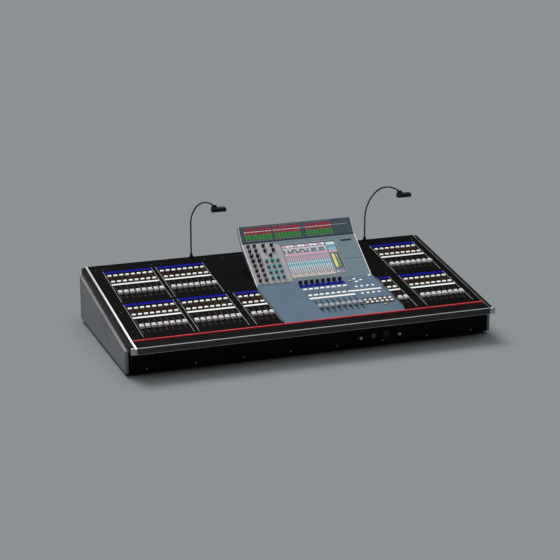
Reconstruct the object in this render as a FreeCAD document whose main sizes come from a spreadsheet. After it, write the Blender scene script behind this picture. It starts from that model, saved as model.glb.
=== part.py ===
import FreeCAD, Part
import math
import os
import Sketcher
from FreeCAD import Placement, Rotation, Vector

# A long control desk: a shallow wedge-shaped case on rubber feet, a sloping
# control surface with two tiers of faders, a raised display housing in the
# middle and two gooseneck lamps at the back. X is across the desk, Y runs from
# the operator to the back, Z is up, and the origin is under the middle of it.

doc = FreeCAD.newDocument("ControlDesk")
dims = doc.addObject("Spreadsheet::Sheet", "Dims")

SIZES = [
    ("desk_width", 1500, "width over the two end trims"),
    ("desk_depth", 716, "front fascia to rear panel"),
    ("overhang", 62, "armrest in front of the fascia"),
    ("fascia_height", 92, "front fascia"),
    ("rail_height", 26, "front rail face"),
    ("fold_back", 9, "fold behind the fascia plane"),
    ("fold_height", 124, "fold above the floor pan"),
    ("surface_slope", 7.7, "control surface, degrees"),
    ("rear_ledge", 24, "flat ledge behind the surface"),
    ("sheet", 2, "steel sheet"),
    ("plate", 3, "aluminium surface plate"),
    ("trim_width", 23, "end trim"),
    ("cheek_inner", 5, "cheek plate core"),
    ("cheek_outer", 7, "cheek plate skin"),
    ("cheek_gap", 4, "shadow gap under the end trim"),
    ("foot_radius", 18, "rubber foot"),
    ("foot_height", 14, "rubber foot"),
    ("left_split", -115, "joint of the left and centre plates"),
    ("right_split", 392, "joint of the centre and right plates"),
    ("pitch", 24.5, "channel to channel"),
    ("tier_step", 317, "lower tier to upper tier"),
    ("slot_middle", 115, "fader slot from the fold"),
    ("slot_length", 116, "fader slot"),
    ("slot_width", 2.6, "fader slot"),
    ("fader_rest", 102, "fader cap at rest from the fold"),
    ("cap_width", 16, "fader cap"),
    ("cap_length", 23, "fader cap"),
    ("cap_height", 11, "fader cap"),
    ("key_width", 16, "key cap"),
    ("key_depth", 10, "key cap"),
    ("key_height", 4, "key cap above the plate"),
    ("key_gap", 0.4, "clearance round a key"),
    ("key_row_far", 275, "upper key row from the fold"),
    ("key_row_near", 217, "lower key row from the fold"),
    ("strip_middle", 309, "channel display from the fold"),
    ("strip_depth", 24, "channel display"),
    ("label_middle", 191, "write-on strip from the fold"),
    ("label_depth", 13, "write-on strip"),
    ("encoder_row", 334, "encoder row from the fold"),
    ("encoder_radius", 8, "encoder knob"),
    ("encoder_height", 15, "encoder knob"),
    ("shaft_radius", 3, "knob shaft"),
    ("shaft_gap", 0.1, "clearance round a shaft"),
    ("hinge_back", 360, "foot of the display from the fascia"),
    ("screen_slope", 33.1, "display panel, degrees"),
    ("screen_length", 230, "display panel"),
    ("meter_slope", 51.2, "meter panel, degrees"),
    ("meter_length", 78, "meter panel"),
    ("display_left", -113, "left side of the display housing"),
    ("display_width", 503, "display housing"),
    ("display_back", 664, "rear foot of the display pedestal from the fascia"),
    ("display_depth", 15, "thickness of the slim display housing"),
    ("pedestal_inset", 90, "display side to pedestal side"),
    ("lamp_radius", 3.2, "gooseneck"),
    ("left_lamp_x", -283, "left lamp socket"),
    ("right_lamp_x", 500, "right lamp socket"),
]

for row, (alias, number, note) in enumerate(SIZES, 1):
    dims.set("A%d" % row, note)
    dims.set("B%d" % row, str(number))
    dims.setAlias("B%d" % row, alias)
doc.recompute()


def size(expression):
    """Number that an expression of sheet cells gives."""
    return float(dims.evalExpression(str(expression)))


def cell(alias):
    """Number held by one cell of the sheet."""
    return float(dims.get(alias))


SLOPE = cell("surface_slope")
FOLD = Vector(0, cell("fold_back"), cell("fold_height"))
MIDDLE = (cell("desk_depth") + 5 - cell("overhang")) / 2
LIFT = cell("foot_height")
SURFACE_RUN = "(Dims.desk_depth - Dims.rear_ledge - Dims.fold_back - 0.2)"
SURFACE_LENGTH = "(%s / cos(Dims.surface_slope))" % SURFACE_RUN
LEDGE_TOP = "(Dims.fold_height + %s * tan(Dims.surface_slope))" % SURFACE_RUN
LEDGE_FRONT = "(Dims.fold_back + %s)" % SURFACE_RUN
INSIDE = "(Dims.desk_width / 2 - Dims.trim_width)"
TRIM_REAR = "(Dims.fascia_height + (Dims.desk_depth - Dims.fold_back) * tan(Dims.surface_slope))"
KINK_Y = "(Dims.hinge_back + Dims.screen_length * cos(Dims.screen_slope))"
KINK_RISE = "(Dims.screen_length * sin(Dims.screen_slope))"
HINGE_Z = "(Dims.fold_height + (Dims.hinge_back - Dims.fold_back) * tan(Dims.surface_slope))"


def desk_frame(x=0.0, y=0.0, z=0.0, tilt=0.0):
    """Placement of a point of the desk, tilted back about X."""
    base = Vector(x, y - MIDDLE, z + LIFT)
    return Placement(base, Rotation(Vector(1, 0, 0), tilt))


SURFACE = desk_frame(0, FOLD.y, FOLD.z, SLOPE)
SCREEN = desk_frame(0, cell("hinge_back"), size(HINGE_Z), cell("screen_slope"))
METER = desk_frame(0, size(KINK_Y), size(HINGE_Z + "+" + KINK_RISE), cell("meter_slope"))


def new_body(label, frame):
    """Empty PartDesign body in its own place."""
    body = doc.addObject("PartDesign::Body", label)
    body.Label = label
    body.Placement = frame
    return body


def sketch_on(body, role):
    """Sketch on one of the body's own origin planes."""
    sketch = body.newObject("Sketcher::SketchObject", body.Name + "_sketch")
    plane = [item for item in body.Origin.OriginFeatures if item.Role == role][0]
    sketch.AttachmentSupport = [(plane, "")]
    sketch.MapMode = "FlatFace"
    return sketch


def bind(sketch, kind, places, number, expression):
    """Dimension that follows an expression of sheet cells."""
    index = sketch.addConstraint(Sketcher.Constraint(kind, *places, number))
    if isinstance(expression, str):
        sketch.setExpression("Constraints[%d]" % index, expression)


def polygon(sketch, points):
    """Closed outline, both coordinates of every corner dimensioned."""
    spots = [Vector(size(x), size(y), 0) for x, y in points]
    first = sketch.GeometryCount
    count = len(spots)
    for i in range(count):
        sketch.addGeometry(Part.LineSegment(spots[i], spots[(i + 1) % count]), False)
    for i in range(count):
        after = first + (i + 1) % count
        sketch.addConstraint(Sketcher.Constraint("Coincident", first + i, 2, after, 1))
    for i, (x, y) in enumerate(points):
        bind(sketch, "DistanceX", (-1, 1, first + i, 1), spots[i].x, x)
        bind(sketch, "DistanceY", (-1, 1, first + i, 1), spots[i].y, y)


def rectangle(sketch, x, y, wide, deep):
    """Rectangle about a middle point."""
    left = "%s - (%s) / 2" % (x, wide)
    right = "%s + (%s) / 2" % (x, wide)
    low = "%s - (%s) / 2" % (y, deep)
    high = "%s + (%s) / 2" % (y, deep)
    polygon(sketch, [(left, low), (right, low), (right, high), (left, high)])


def circle(sketch, x, y, radius):
    """Circle with its middle and radius dimensioned."""
    spot = Vector(size(x), size(y), 0)
    index = sketch.GeometryCount
    sketch.addGeometry(Part.Circle(spot, Vector(0, 0, 1), size(radius)), False)
    bind(sketch, "DistanceX", (-1, 1, index, 3), spot.x, x)
    bind(sketch, "DistanceY", (-1, 1, index, 3), spot.y, y)
    bind(sketch, "Radius", (index,), size(radius), radius)


def pad(body, sketch, length, down=False):
    """Pad of a sketch by a bound length."""
    feature = body.newObject("PartDesign::Pad", body.Name + "_pad")
    feature.Profile = sketch
    feature.setExpression("Length", str(length))
    feature.Reversed = down
    body.Tip = feature
    return feature


def pocket(body, sketch, depth=None, reverse=False):
    """Pocket of a sketch, right through unless a depth is given."""
    doc.recompute()
    before = body.Shape.Volume
    feature = body.newObject("PartDesign::Pocket", body.Name + "_pocket")
    feature.Profile = sketch
    if depth is None:
        feature.Type = "ThroughAll"
        feature.Midplane = True
    else:
        feature.setExpression("Length", str(depth))
        feature.Reversed = reverse
    body.Tip = feature
    doc.recompute()
    if body.Shape.Volume > before - 1e-3:
        raise RuntimeError(feature.Name + " removes nothing")
    return feature


def row_of(body, feature, sketch, count):
    """Copies of a feature along X at the channel pitch."""
    pattern = body.newObject("PartDesign::LinearPattern", body.Name + "_row")
    pattern.Originals = [feature]
    pattern.Direction = (sketch, ["H_Axis"])
    pattern.setExpression("Length", "Dims.pitch * %d" % (count - 1))
    pattern.Occurrences = count
    body.Tip = pattern
    return pattern


def round_edges(body, radius, chosen):
    """Fillet on the edges that a test picks out."""
    doc.recompute()
    solid = body.Tip
    names = []
    for i, edge in enumerate(solid.Shape.Edges, 1):
        if chosen(edge):
            names.append("Edge%d" % i)
    feature = body.newObject("PartDesign::Fillet", body.Name + "_fillet")
    feature.Base = (solid, names)
    feature.Radius = radius
    body.Tip = feature


def loose_group(label, shapes, frame):
    """Several loose solids of one kind, carried as one sub-part."""
    part = doc.addObject("Part::Feature", label)
    part.Label = label
    part.Shape = Part.makeCompound(shapes)
    part.Placement = frame
    return part


def block(x, y, z, wide, deep, tall):
    """Box about a middle point in X and Y, standing on z."""
    return Part.makeBox(wide, deep, tall, Vector(x - wide / 2, y - deep / 2, z))


def copies(shape, spots):
    """Copies of one shape at several points."""
    result = []
    for spot in spots:
        twin = shape.copy()
        twin.translate(Vector(*spot))
        result.append(twin)
    return result


# Case: floor pan, front fascia, rear panel, ledge, cheeks and end trims.

pan = new_body("floor_pan", desk_frame())
outline = sketch_on(pan, "XY_Plane")
CASE = "(Dims.desk_width / 2 - 3)"
polygon(outline, [("-" + CASE, "Dims.sheet"), (CASE, "Dims.sheet"),
                  (CASE, "Dims.desk_depth - Dims.sheet"), ("-" + CASE, "Dims.desk_depth - Dims.sheet")])
pad(pan, outline, "Dims.sheet")
vents = sketch_on(pan, "XY_Plane")
rectangle(vents, "-550", "Dims.desk_depth - 160", "6", "70")
slots = pocket(pan, vents)
row_of(pan, slots, vents, 9)

FRONT_KNOBS = (193, 357)
JACK_X = 251
TALKBACK_X = 305
CONTROL_Z = 36

fascia = new_body("front_fascia", desk_frame())
outline = sketch_on(fascia, "XZ_Plane")
polygon(outline, [("-" + CASE, "0"), (CASE, "0"), (CASE, "Dims.fascia_height"),
                  ("-" + CASE, "Dims.fascia_height")])
pad(fascia, outline, "Dims.sheet", True)
holes = sketch_on(fascia, "XZ_Plane")
for x in FRONT_KNOBS:
    circle(holes, str(x), str(CONTROL_Z), "Dims.shaft_radius + Dims.shaft_gap")
circle(holes, str(JACK_X), str(CONTROL_Z), "6.5")
circle(holes, str(TALKBACK_X), str(CONTROL_Z + 3), "11")
pocket(fascia, holes)

INLET = (-600, 62, 30, 24)
ROCKER = (-560, 62, 13, 20)
DATA = ((-505, 62, 16, 14), (-470, 62, 16, 14))

rear = new_body("rear_panel", desk_frame(0, cell("desk_depth") - cell("sheet")))
outline = sketch_on(rear, "XZ_Plane")
REAR_TOP = LEDGE_TOP + " - Dims.plate"
SHOULDER = "(%s - 1)" % TRIM_REAR
polygon(outline, [("-" + CASE, "0"), (CASE, "0"), (CASE, SHOULDER), (INSIDE, SHOULDER), (INSIDE, REAR_TOP),
                  ("-" + INSIDE, REAR_TOP), ("-" + INSIDE, SHOULDER), ("-" + CASE, SHOULDER)])
pad(rear, outline, "Dims.sheet", True)
holes = sketch_on(rear, "XZ_Plane")
for x, z, wide, tall in (INLET, ROCKER) + DATA:
    rectangle(holes, str(x), str(z), str(wide), str(tall))
pocket(rear, holes)
vents = sketch_on(rear, "XZ_Plane")
rectangle(vents, "350", "120", "5", "60")
slots = pocket(rear, vents)
row_of(rear, slots, vents, 10)

ledge = new_body("rear_ledge", desk_frame(0, 0, size(LEDGE_TOP)))
outline = sketch_on(ledge, "XY_Plane")
LEDGE_EDGE = LEDGE_FRONT + " + Dims.plate * sin(Dims.surface_slope)"
polygon(outline, [("-" + INSIDE, LEDGE_EDGE), (INSIDE, LEDGE_EDGE),
                  (INSIDE, "Dims.desk_depth"), ("-" + INSIDE, "Dims.desk_depth")])
pad(ledge, outline, "Dims.plate", True)
holes = sketch_on(ledge, "XY_Plane")
SOCKET_Y = "(Dims.desk_depth - Dims.rear_ledge / 2)"
for alias in ("left_lamp_x", "right_lamp_x"):
    circle(holes, "Dims." + alias, SOCKET_Y, "7.05")
pocket(ledge, holes)

TRIM_TOP_REAR = "(Dims.fold_height + (Dims.desk_depth - Dims.fold_back) * tan(Dims.surface_slope))"


def end_trim(label, left):
    """Aluminium bar over the whole side profile, its long edges rounded."""
    body = new_body(label, desk_frame(left))
    outline = sketch_on(body, "YZ_Plane")
    polygon(outline, [("-Dims.overhang", "Dims.fascia_height"), ("0", "Dims.fascia_height"),
                      ("Dims.desk_depth", TRIM_REAR), ("Dims.desk_depth", TRIM_TOP_REAR),
                      ("Dims.fold_back", "Dims.fold_height"),
                      ("-Dims.overhang", "Dims.fascia_height + Dims.rail_height")])
    pad(body, outline, "Dims.trim_width")
    rise = math.tan(math.radians(SLOPE))
    base = cell("fascia_height") + cell("rail_height") - 2
    round_edges(body, 2, lambda edge: edge.Length > 60
                and edge.CenterOfMass.z > base + rise * edge.CenterOfMass.y)


def cheek(label, left, inner_first):
    """Side plate: a core that carries the trim and a skin that stops short of it."""
    body = new_body(label, desk_frame(left))
    core = sketch_on(body, "YZ_Plane")
    polygon(core, [("0", "0"), ("Dims.desk_depth", "0"), ("Dims.desk_depth", TRIM_REAR),
                   ("0", "Dims.fascia_height")])
    pad(body, core, "Dims.cheek_inner", not inner_first)
    skin = sketch_on(body, "YZ_Plane")
    polygon(skin, [("0", "0"), ("Dims.desk_depth", "0"), ("Dims.desk_depth", TRIM_REAR + " - Dims.cheek_gap"),
                   ("0", "Dims.fascia_height - Dims.cheek_gap")])
    pad(body, skin, "Dims.cheek_outer", inner_first)
    reach = cell("cheek_outer")
    round_edges(body, 3, lambda edge: abs(abs(edge.CenterOfMass.x) - reach) < 0.01)


half = cell("desk_width") / 2
end_trim("left_end_trim", -half)
end_trim("right_end_trim", half - cell("trim_width"))
cheek("left_cheek_plate", -half - 2, True)
cheek("right_cheek_plate", half + 2, False)

# Armrest: rail across the front, moulded capping and the coloured strip at the fold.

RAIL = 4
reach = cell("overhang") - RAIL
face = block(0, -cell("overhang") + RAIL / 2, cell("fascia_height"), 2 * size(INSIDE), RAIL, cell("rail_height"))
shelf = block(0, -reach / 2, cell("fascia_height"), 2 * size(INSIDE), reach, cell("plate"))
loose_group("front_rail", [face, shelf], desk_frame())

REST_RISE = "(Dims.fold_height - Dims.fascia_height - Dims.rail_height)"
REST_SLOPE = "atan(%s / (Dims.overhang + Dims.fold_back))" % REST_RISE
rest = new_body("armrest_top", desk_frame(-half + cell("trim_width")))
outline = sketch_on(rest, "YZ_Plane")
STRIP = 8
PROUD = 4
REST_FRONT = "Dims.fascia_height + Dims.rail_height + 4 * tan(%s)" % REST_SLOPE
REST_BACK = "Dims.fold_height - %d * tan(%s)" % (STRIP, REST_SLOPE)
REST_Y = "Dims.fold_back - %d" % STRIP
polygon(outline, [("-Dims.overhang + 4", REST_FRONT + " - 5"), (REST_Y, REST_BACK + " - 5"),
                  (REST_Y, REST_BACK), ("-Dims.overhang + 4", REST_FRONT)])
pad(rest, outline, "2 * " + INSIDE)

strip = new_body("red_strip", desk_frame(-half + cell("trim_width")))
outline = sketch_on(strip, "YZ_Plane")
polygon(outline, [(REST_Y, REST_BACK + " - 5"), ("Dims.fold_back", "Dims.fold_height - 5"),
                  ("Dims.fold_back", "Dims.fold_height + %s" % PROUD), (REST_Y, REST_BACK + " + %s" % PROUD)])
pad(strip, outline, "2 * " + INSIDE)

# Control surface: three plates with a slot for each fader and a hole for each key.
# A bank is its name, its middle across the desk, its channels, its tier and its plate.

BANKS = [
    ("faders_far_left_upper", -576.5, 8, 1, "left"),
    ("faders_far_left_lower", -576.5, 8, 0, "left"),
    ("faders_left_upper", -356, 8, 1, "left"),
    ("faders_left_lower", -356, 8, 0, "left"),
    ("faders_inner_left", -172.5, 4, 0, "left"),
    ("faders_centre", 154, 8, 0, "centre"),
    ("faders_inner_right", 424, 2, 0, "right"),
    ("faders_right_upper", 596, 8, 1, "right"),
    ("faders_right_lower", 596, 8, 0, "right"),
]
PITCH = cell("pitch")
TIER = cell("tier_step")

# Keys of the centre section that stand outside the channel grid.
CLUSTER = [(277, 311), (300, 325), (301, 299), (324, 311), (377, 347)]
CLUSTER += [(282 + 24 * i, s) for i in range(4) for s in (253, 186)]
KEYPAD = [(269 + 21.2 * i, s) for i in range(6) for s in (102, 125)]
KEYPAD += [(333, 70)]
PAD_KEY = 11


def channels(middle, count):
    """X of each channel of a bank."""
    first = middle - PITCH * (count - 1) / 2
    return [first + PITCH * i for i in range(count)]


def surface_plate(label, left, right, side):
    """Sloping plate with its fader slots and key holes."""
    body = new_body(label, SURFACE)
    outline = sketch_on(body, "XY_Plane")
    polygon(outline, [(left, "0"), (right, "0"), (right, SURFACE_LENGTH), (left, SURFACE_LENGTH)])
    pad(body, outline, "Dims.plate", True)
    for name, middle, count, tier, plate in BANKS:
        if plate != side:
            continue
        x = "(%s - Dims.pitch * %s / 2)" % (middle, count - 1)
        lift = "+ Dims.tier_step * %d" % tier
        openings = sketch_on(body, "XY_Plane")
        rectangle(openings, x, "Dims.slot_middle" + lift, "Dims.slot_width", "Dims.slot_length")
        for row in ("Dims.key_row_far", "Dims.key_row_near"):
            rectangle(openings, x, row + lift, "Dims.key_width + 2 * Dims.key_gap",
                      "Dims.key_depth + 2 * Dims.key_gap")
        row_of(body, pocket(body, openings), openings, count)
    return body


surface_plate("left_surface_plate", "-" + INSIDE, "Dims.left_split", "left")
surface_plate("right_surface_plate", "Dims.right_split", INSIDE, "right")
centre = surface_plate("centre_surface_plate", "Dims.left_split", "Dims.right_split", "centre")
bores = sketch_on(centre, "XY_Plane")
circle(bores, "154 - Dims.pitch * 3.5", "Dims.encoder_row", "Dims.shaft_radius + Dims.shaft_gap")
row_of(centre, pocket(centre, bores), bores, 8)
extra = sketch_on(centre, "XY_Plane")
for x, y in CLUSTER + KEYPAD:
    rectangle(extra, str(x), str(y), "%s + 2 * Dims.key_gap" % PAD_KEY,
              "%s + 2 * Dims.key_gap" % (PAD_KEY - 2))
pocket(centre, extra)

# Channel displays and write-on strips, stuck on the plates over each bank.

displays = []
labels = []
for name, middle, count, tier, plate in BANKS:
    wide = PITCH * count
    rise = TIER * tier
    displays.append(block(middle, cell("strip_middle") + rise, 0, wide, cell("strip_depth"), 1.5))
    labels.append(block(middle, cell("label_middle") + rise, 0, wide, cell("label_depth"), 0.8))
labels.append(block(314, 220, 0, 128, cell("label_depth"), 0.8))
loose_group("channel_displays", displays, SURFACE)
loose_group("write_on_strips", labels, SURFACE)

# Faders: a cap on a blade that runs in the track under its slot.

BLADE = 8
TRACK_DEPTH = 13


def fader():
    """One cap with a raised middle line, and its blade."""
    cap = block(0, 0, 1.5, cell("cap_width"), cell("cap_length"), cell("cap_height"))
    top = 1.5 + cell("cap_height")
    rims = [edge for edge in cap.Edges if edge.CenterOfMass.z > top - 0.01]
    cap = cap.makeChamfer(2, rims)
    blade = block(0, 0, -9, 1.4, BLADE, 11)
    return cap.fuse(blade).removeSplitter()


def fader_track():
    """Closed channel that guides the blade."""
    long = cell("slot_length") + 10
    body = block(0, 0, -cell("plate") - TRACK_DEPTH, 18, long, TRACK_DEPTH)
    groove = block(0, 0, -cell("plate") - 9, cell("slot_width"), cell("slot_length"), 9)
    return body.cut(groove)


cap = fader()
track = fader_track()
tracks = []
for name, middle, count, tier, plate in BANKS:
    rise = TIER * tier
    columns = channels(middle, count)
    loose_group(name, copies(cap, [(x, cell("fader_rest") + rise, 0) for x in columns]), SURFACE)
    tracks += copies(track, [(x, cell("slot_middle") + rise, 0) for x in columns])
loose_group("fader_tracks", tracks, SURFACE)

# Keys: square caps that sink through the plate when pressed.


def key(wide, deep):
    """One key cap with a bevelled top, reaching below the plate."""
    body = block(0, 0, -6, wide, deep, 6 + cell("key_height"))
    rims = [edge for edge in body.Edges if edge.CenterOfMass.z > cell("key_height") - 0.01]
    return body.makeChamfer(0.8, rims)


channel_key = key(cell("key_width"), cell("key_depth"))
rows = {"channel_keys_far_row": "key_row_far", "channel_keys_near_row": "key_row_near"}
for label, alias in rows.items():
    spots = []
    for name, middle, count, tier, plate in BANKS:
        spots += [(x, cell(alias) + TIER * tier, 0) for x in channels(middle, count)]
    loose_group(label, copies(channel_key, spots), SURFACE)
small_key = key(PAD_KEY, PAD_KEY - 2)
loose_group("keypad_keys", copies(small_key, [(x, y, 0) for x, y in CLUSTER + KEYPAD]), SURFACE)

# Encoders: one knob on a shaft over each centre channel.


def knob(radius, height, reach, gap):
    """Turned knob with a domed rim, a gap under it and a shaft below."""
    head = Part.makeCylinder(radius, height, Vector(0, 0, gap))
    rim = [edge for edge in head.Edges if edge.CenterOfMass.z > gap + height - 0.01 and edge.Closed]
    head = head.makeChamfer(1.2, rim)
    shaft = Part.makeCylinder(cell("shaft_radius"), gap + reach + 1, Vector(0, 0, -reach))
    return head.fuse(shaft).removeSplitter()


encoder = knob(cell("encoder_radius"), cell("encoder_height"), 8, 1.0)
for i, x in enumerate(channels(154, 8), 1):
    loose_group("encoder_knob_%d" % i, copies(encoder, [(x, cell("encoder_row"), 0)]), SURFACE)

# Display housing: two side cheeks, screen panel, meter panel and rear cover.

PANEL = "(Dims.display_width - 8)"
HINGE_REL = size(HINGE_Z)
KINK = Vector(0, size(KINK_Y), HINGE_REL + size(KINK_RISE))
TOP_Y = "(%s + Dims.meter_length * cos(Dims.meter_slope))" % KINK_Y
TOP_Z = "(%s + %s + Dims.meter_length * sin(Dims.meter_slope))" % (HINGE_Z, KINK_RISE)
FOOT_Z = "(Dims.fold_height + (Dims.display_back - Dims.fold_back) * tan(Dims.surface_slope))"
def behind(depth):
    """Foot, kink and top of a line a depth behind the display's face."""
    bend = "(1 + cos(Dims.meter_slope - Dims.screen_slope))"
    lean = "(Dims.screen_slope - Dims.surface_slope)"
    foot = ("Dims.hinge_back + (%s) / sin(%s) * cos(Dims.surface_slope)" % (depth, lean),
            "%s + (%s) / sin(%s) * sin(Dims.surface_slope)" % (HINGE_Z, depth, lean))
    kink = ("%s + (%s) * (sin(Dims.screen_slope) + sin(Dims.meter_slope)) / %s" % (KINK_Y, depth, bend),
            "%s + %s - (%s) * (cos(Dims.screen_slope) + cos(Dims.meter_slope)) / %s"
            % (HINGE_Z, KINK_RISE, depth, bend))
    return foot, kink, display_top(depth, 0)


def display_top(depth, lower):
    """Point behind the top edge of the meter panel, a little way down it."""
    return ("%s + (%s) * sin(Dims.meter_slope) - (%s) * cos(Dims.meter_slope)" % (TOP_Y, depth, lower),
            "%s - (%s) * cos(Dims.meter_slope) - (%s) * sin(Dims.meter_slope)" % (TOP_Z, depth, lower))


def display_cheek(label, left):
    """Side band of the slim, bent display housing."""
    body = new_body(label, desk_frame(left))
    outline = sketch_on(body, "YZ_Plane")
    foot, kink, top = behind("Dims.display_depth")
    polygon(outline, [("Dims.hinge_back", HINGE_Z), foot, kink, top, (TOP_Y, TOP_Z),
                      (KINK_Y, HINGE_Z + " + " + KINK_RISE)])
    pad(body, outline, "4")


display_cheek("display_left_cheek", cell("display_left"))
display_cheek("display_right_cheek", cell("display_left") + cell("display_width") - 4)

# Rear cover: one folded sheet behind the display, with the hollow pedestal that carries it.

cover = new_body("display_rear_cover", desk_frame(cell("display_left") + 4))
outline = sketch_on(cover, "YZ_Plane")
SKIN = "1.5"
outer = behind("Dims.display_depth")
inner = behind("Dims.display_depth - " + SKIN)
polygon(outline, [inner[0], inner[1], display_top("Dims.display_depth - " + SKIN, "2"),
                  display_top("Dims.plate", "2"), display_top("Dims.plate", "0"),
                  outer[2], outer[1], outer[0]])
pad(cover, outline, PANEL)
back_wall = sketch_on(cover, "YZ_Plane")
back_wall.AttachmentOffset = Placement(Vector(0, 0, cell("pedestal_inset")), Rotation())
NECK = display_top("Dims.display_depth - 0.5", "20")
LOWER = display_top("Dims.display_depth - 0.5", "24")
PEDESTAL = "(%s - 2 * Dims.pedestal_inset)" % PANEL
polygon(back_wall, [("Dims.display_back - 2.5", FOOT_Z + " + 0.3"),
                    ("Dims.display_back", FOOT_Z + " + 0.3"), NECK, LOWER])
pad(cover, back_wall, PEDESTAL)
deep = behind("Dims.display_depth - 0.5")
for offset in (cell("pedestal_inset"), cell("pedestal_inset") + size(PEDESTAL) - 2):
    wall = sketch_on(cover, "YZ_Plane")
    wall.AttachmentOffset = Placement(Vector(0, 0, offset), Rotation())
    polygon(wall, [(deep[0][0] + " + 4", deep[0][1] + " + 1.2"), ("Dims.display_back - 1", FOOT_Z + " + 0.3"),
                   LOWER, deep[1]])
    pad(cover, wall, "2")

# Places on the screen panel: x across the desk and y up the panel.
SCREEN_X, SCREEN_Y, SCREEN_WIDE, SCREEN_HIGH = 169, 112, 242, 184
PAIRS = [(x, 26 + 26.4 * i) for x in (-90, -63) for i in range(8)]
GATE = [(-25, 209), (11, 209), (-25, 181), (11, 181), (-7, 155)]
FILTER = [(-33 + 24 * i, 34 + 30.5 * j) for i in range(3) for j in range(4)]
LARGE = [(x, y) for x, y in PAIRS if 120 < y < 170]
SMALL = [spot for spot in PAIRS if spot not in LARGE] + GATE + FILTER

face = new_body("display_front_panel", SCREEN)
outline = sketch_on(face, "YZ_Plane")
BEVEL = "(Dims.plate / tan(Dims.screen_slope - Dims.surface_slope))"
polygon(outline, [("0", "0"), (BEVEL, "-Dims.plate"), ("Dims.screen_length", "-Dims.plate"),
                  ("Dims.screen_length", "0")])
panel = pad(face, outline, PANEL)
outline.AttachmentOffset = Placement(Vector(0, 0, cell("display_left") + 4), Rotation())
window = sketch_on(face, "XY_Plane")
rectangle(window, str(SCREEN_X), str(SCREEN_Y), str(SCREEN_WIDE), str(SCREEN_HIGH))
rectangle(window, "341", "200", "46", "5")
for x, y in SMALL + LARGE:
    circle(window, str(x), str(y), "Dims.shaft_radius + Dims.shaft_gap + 0.3")
pocket(face, window)

plate = new_body("knob_plate", SCREEN)
outline = sketch_on(plate, "XY_Plane")
polygon(outline, [("-108", "7"), ("46", "7"), ("46", "208"), ("16", "223"), ("-108", "223")])
pad(plate, outline, "1.5")
holes = sketch_on(plate, "XY_Plane")
for x, y in SMALL + LARGE:
    circle(holes, str(x), str(y), "Dims.shaft_radius + Dims.shaft_gap + 0.3")
pocket(plate, holes)

screen = new_body("touch_screen", SCREEN)
outline = sketch_on(screen, "XY_Plane")
rectangle(outline, str(SCREEN_X), str(SCREEN_Y), str(SCREEN_WIDE), str(SCREEN_HIGH))
pad(screen, outline, "6", True)
outline.AttachmentOffset = Placement(Vector(0, 0, -0.8), Rotation())

small_knob = knob(7.2, 11, 8, 3.2)
large_knob = knob(8.4, 12, 8, 3.2)
knobs = copies(small_knob, [(x, y, 0) for x, y in SMALL]) + copies(large_knob, [(x, y, 0) for x, y in LARGE])
loose_group("panel_knobs", knobs, SCREEN)

METERS = (-31.5, 97.5, 238.5)
METER_PITCH = 15
METER_WIDE = 12
bridge = new_body("meter_panel", METER)
outline = sketch_on(bridge, "XY_Plane")
METER_LEFT = "(Dims.display_left + 4)"
METER_RIGHT = "(Dims.display_left + Dims.display_width - 4)"
polygon(outline, [(METER_LEFT, "0"), (METER_RIGHT, "0"), (METER_RIGHT, "Dims.meter_length - 1"),
                  (METER_LEFT, "Dims.meter_length - 1")])
pad(bridge, outline, "Dims.plate", True)
lamps = []
columns = sketch_on(bridge, "XY_Plane")
for middle in METERS:
    for i in range(8):
        x = middle + METER_PITCH * (i - 3.5)
        rectangle(columns, str(x), "40", str(METER_WIDE), "54")
        lamps.append(block(x, 40, -cell("plate"), METER_WIDE, 54, cell("plate") - 0.3))
pocket(bridge, columns)
loose_group("meter_lamp_blocks", lamps, METER)

# Inside: circuit boards under the banks, the panel board, the main board and the power supply.

BOARD = 1.6
BOARD_TOP = -cell("plate") - TRACK_DEPTH
boards = []
for name, middle, count, tier, side in BANKS:
    rise = TIER * tier
    wide = PITCH * count - 2
    board = block(middle, 172 + rise, BOARD_TOP - BOARD, wide, 232, BOARD)
    for alias in ("key_row_far", "key_row_near"):
        board = board.fuse(block(middle, cell(alias) + rise, BOARD_TOP - 0.5, wide, 8, 8))
    boards.append(board.removeSplitter())
rack = block(154, cell("encoder_row"), BOARD_TOP - BOARD, PITCH * 8 - 2, 18, BOARD + 6)
boards.append(rack)
for shape in boards:
    shape.Placement = SURFACE.multiply(shape.Placement)
panel_board = block(-31, 127.5, -12.6, 140, 175, BOARD)
for x, y in ((-98, 46), (36, 46), (-98, 205), (36, 205)):
    panel_board = panel_board.fuse(block(x, y, -11.5, 5, 5, 11.5 - cell("plate")))
panel_board.Placement = SCREEN.multiply(panel_board.Placement)
boards.append(panel_board)
main_board = block(60, 430, 12, 420, 180, BOARD)
for x in (-130, 60, 250):
    for y in (350, 510):
        main_board = main_board.fuse(block(x, y, cell("sheet"), 8, 8, 11))
main_board.Placement = desk_frame().multiply(main_board.Placement)
boards.append(main_board)
loose_group("circuit_boards", boards, Placement())

supply = block(-440, 560, cell("sheet"), 200, 110, 46)
loose_group("power_supply", [supply], desk_frame())

# Sockets: headphone jack and microphone socket in front, mains and data at the rear.


def facing(shape, y, turn):
    """Turn a shape made along +Z so that it faces the operator or the back."""
    shape.rotate(Vector(0, 0, 0), Vector(1, 0, 0), turn)
    shape.translate(Vector(0, y, 0))
    return shape


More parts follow.
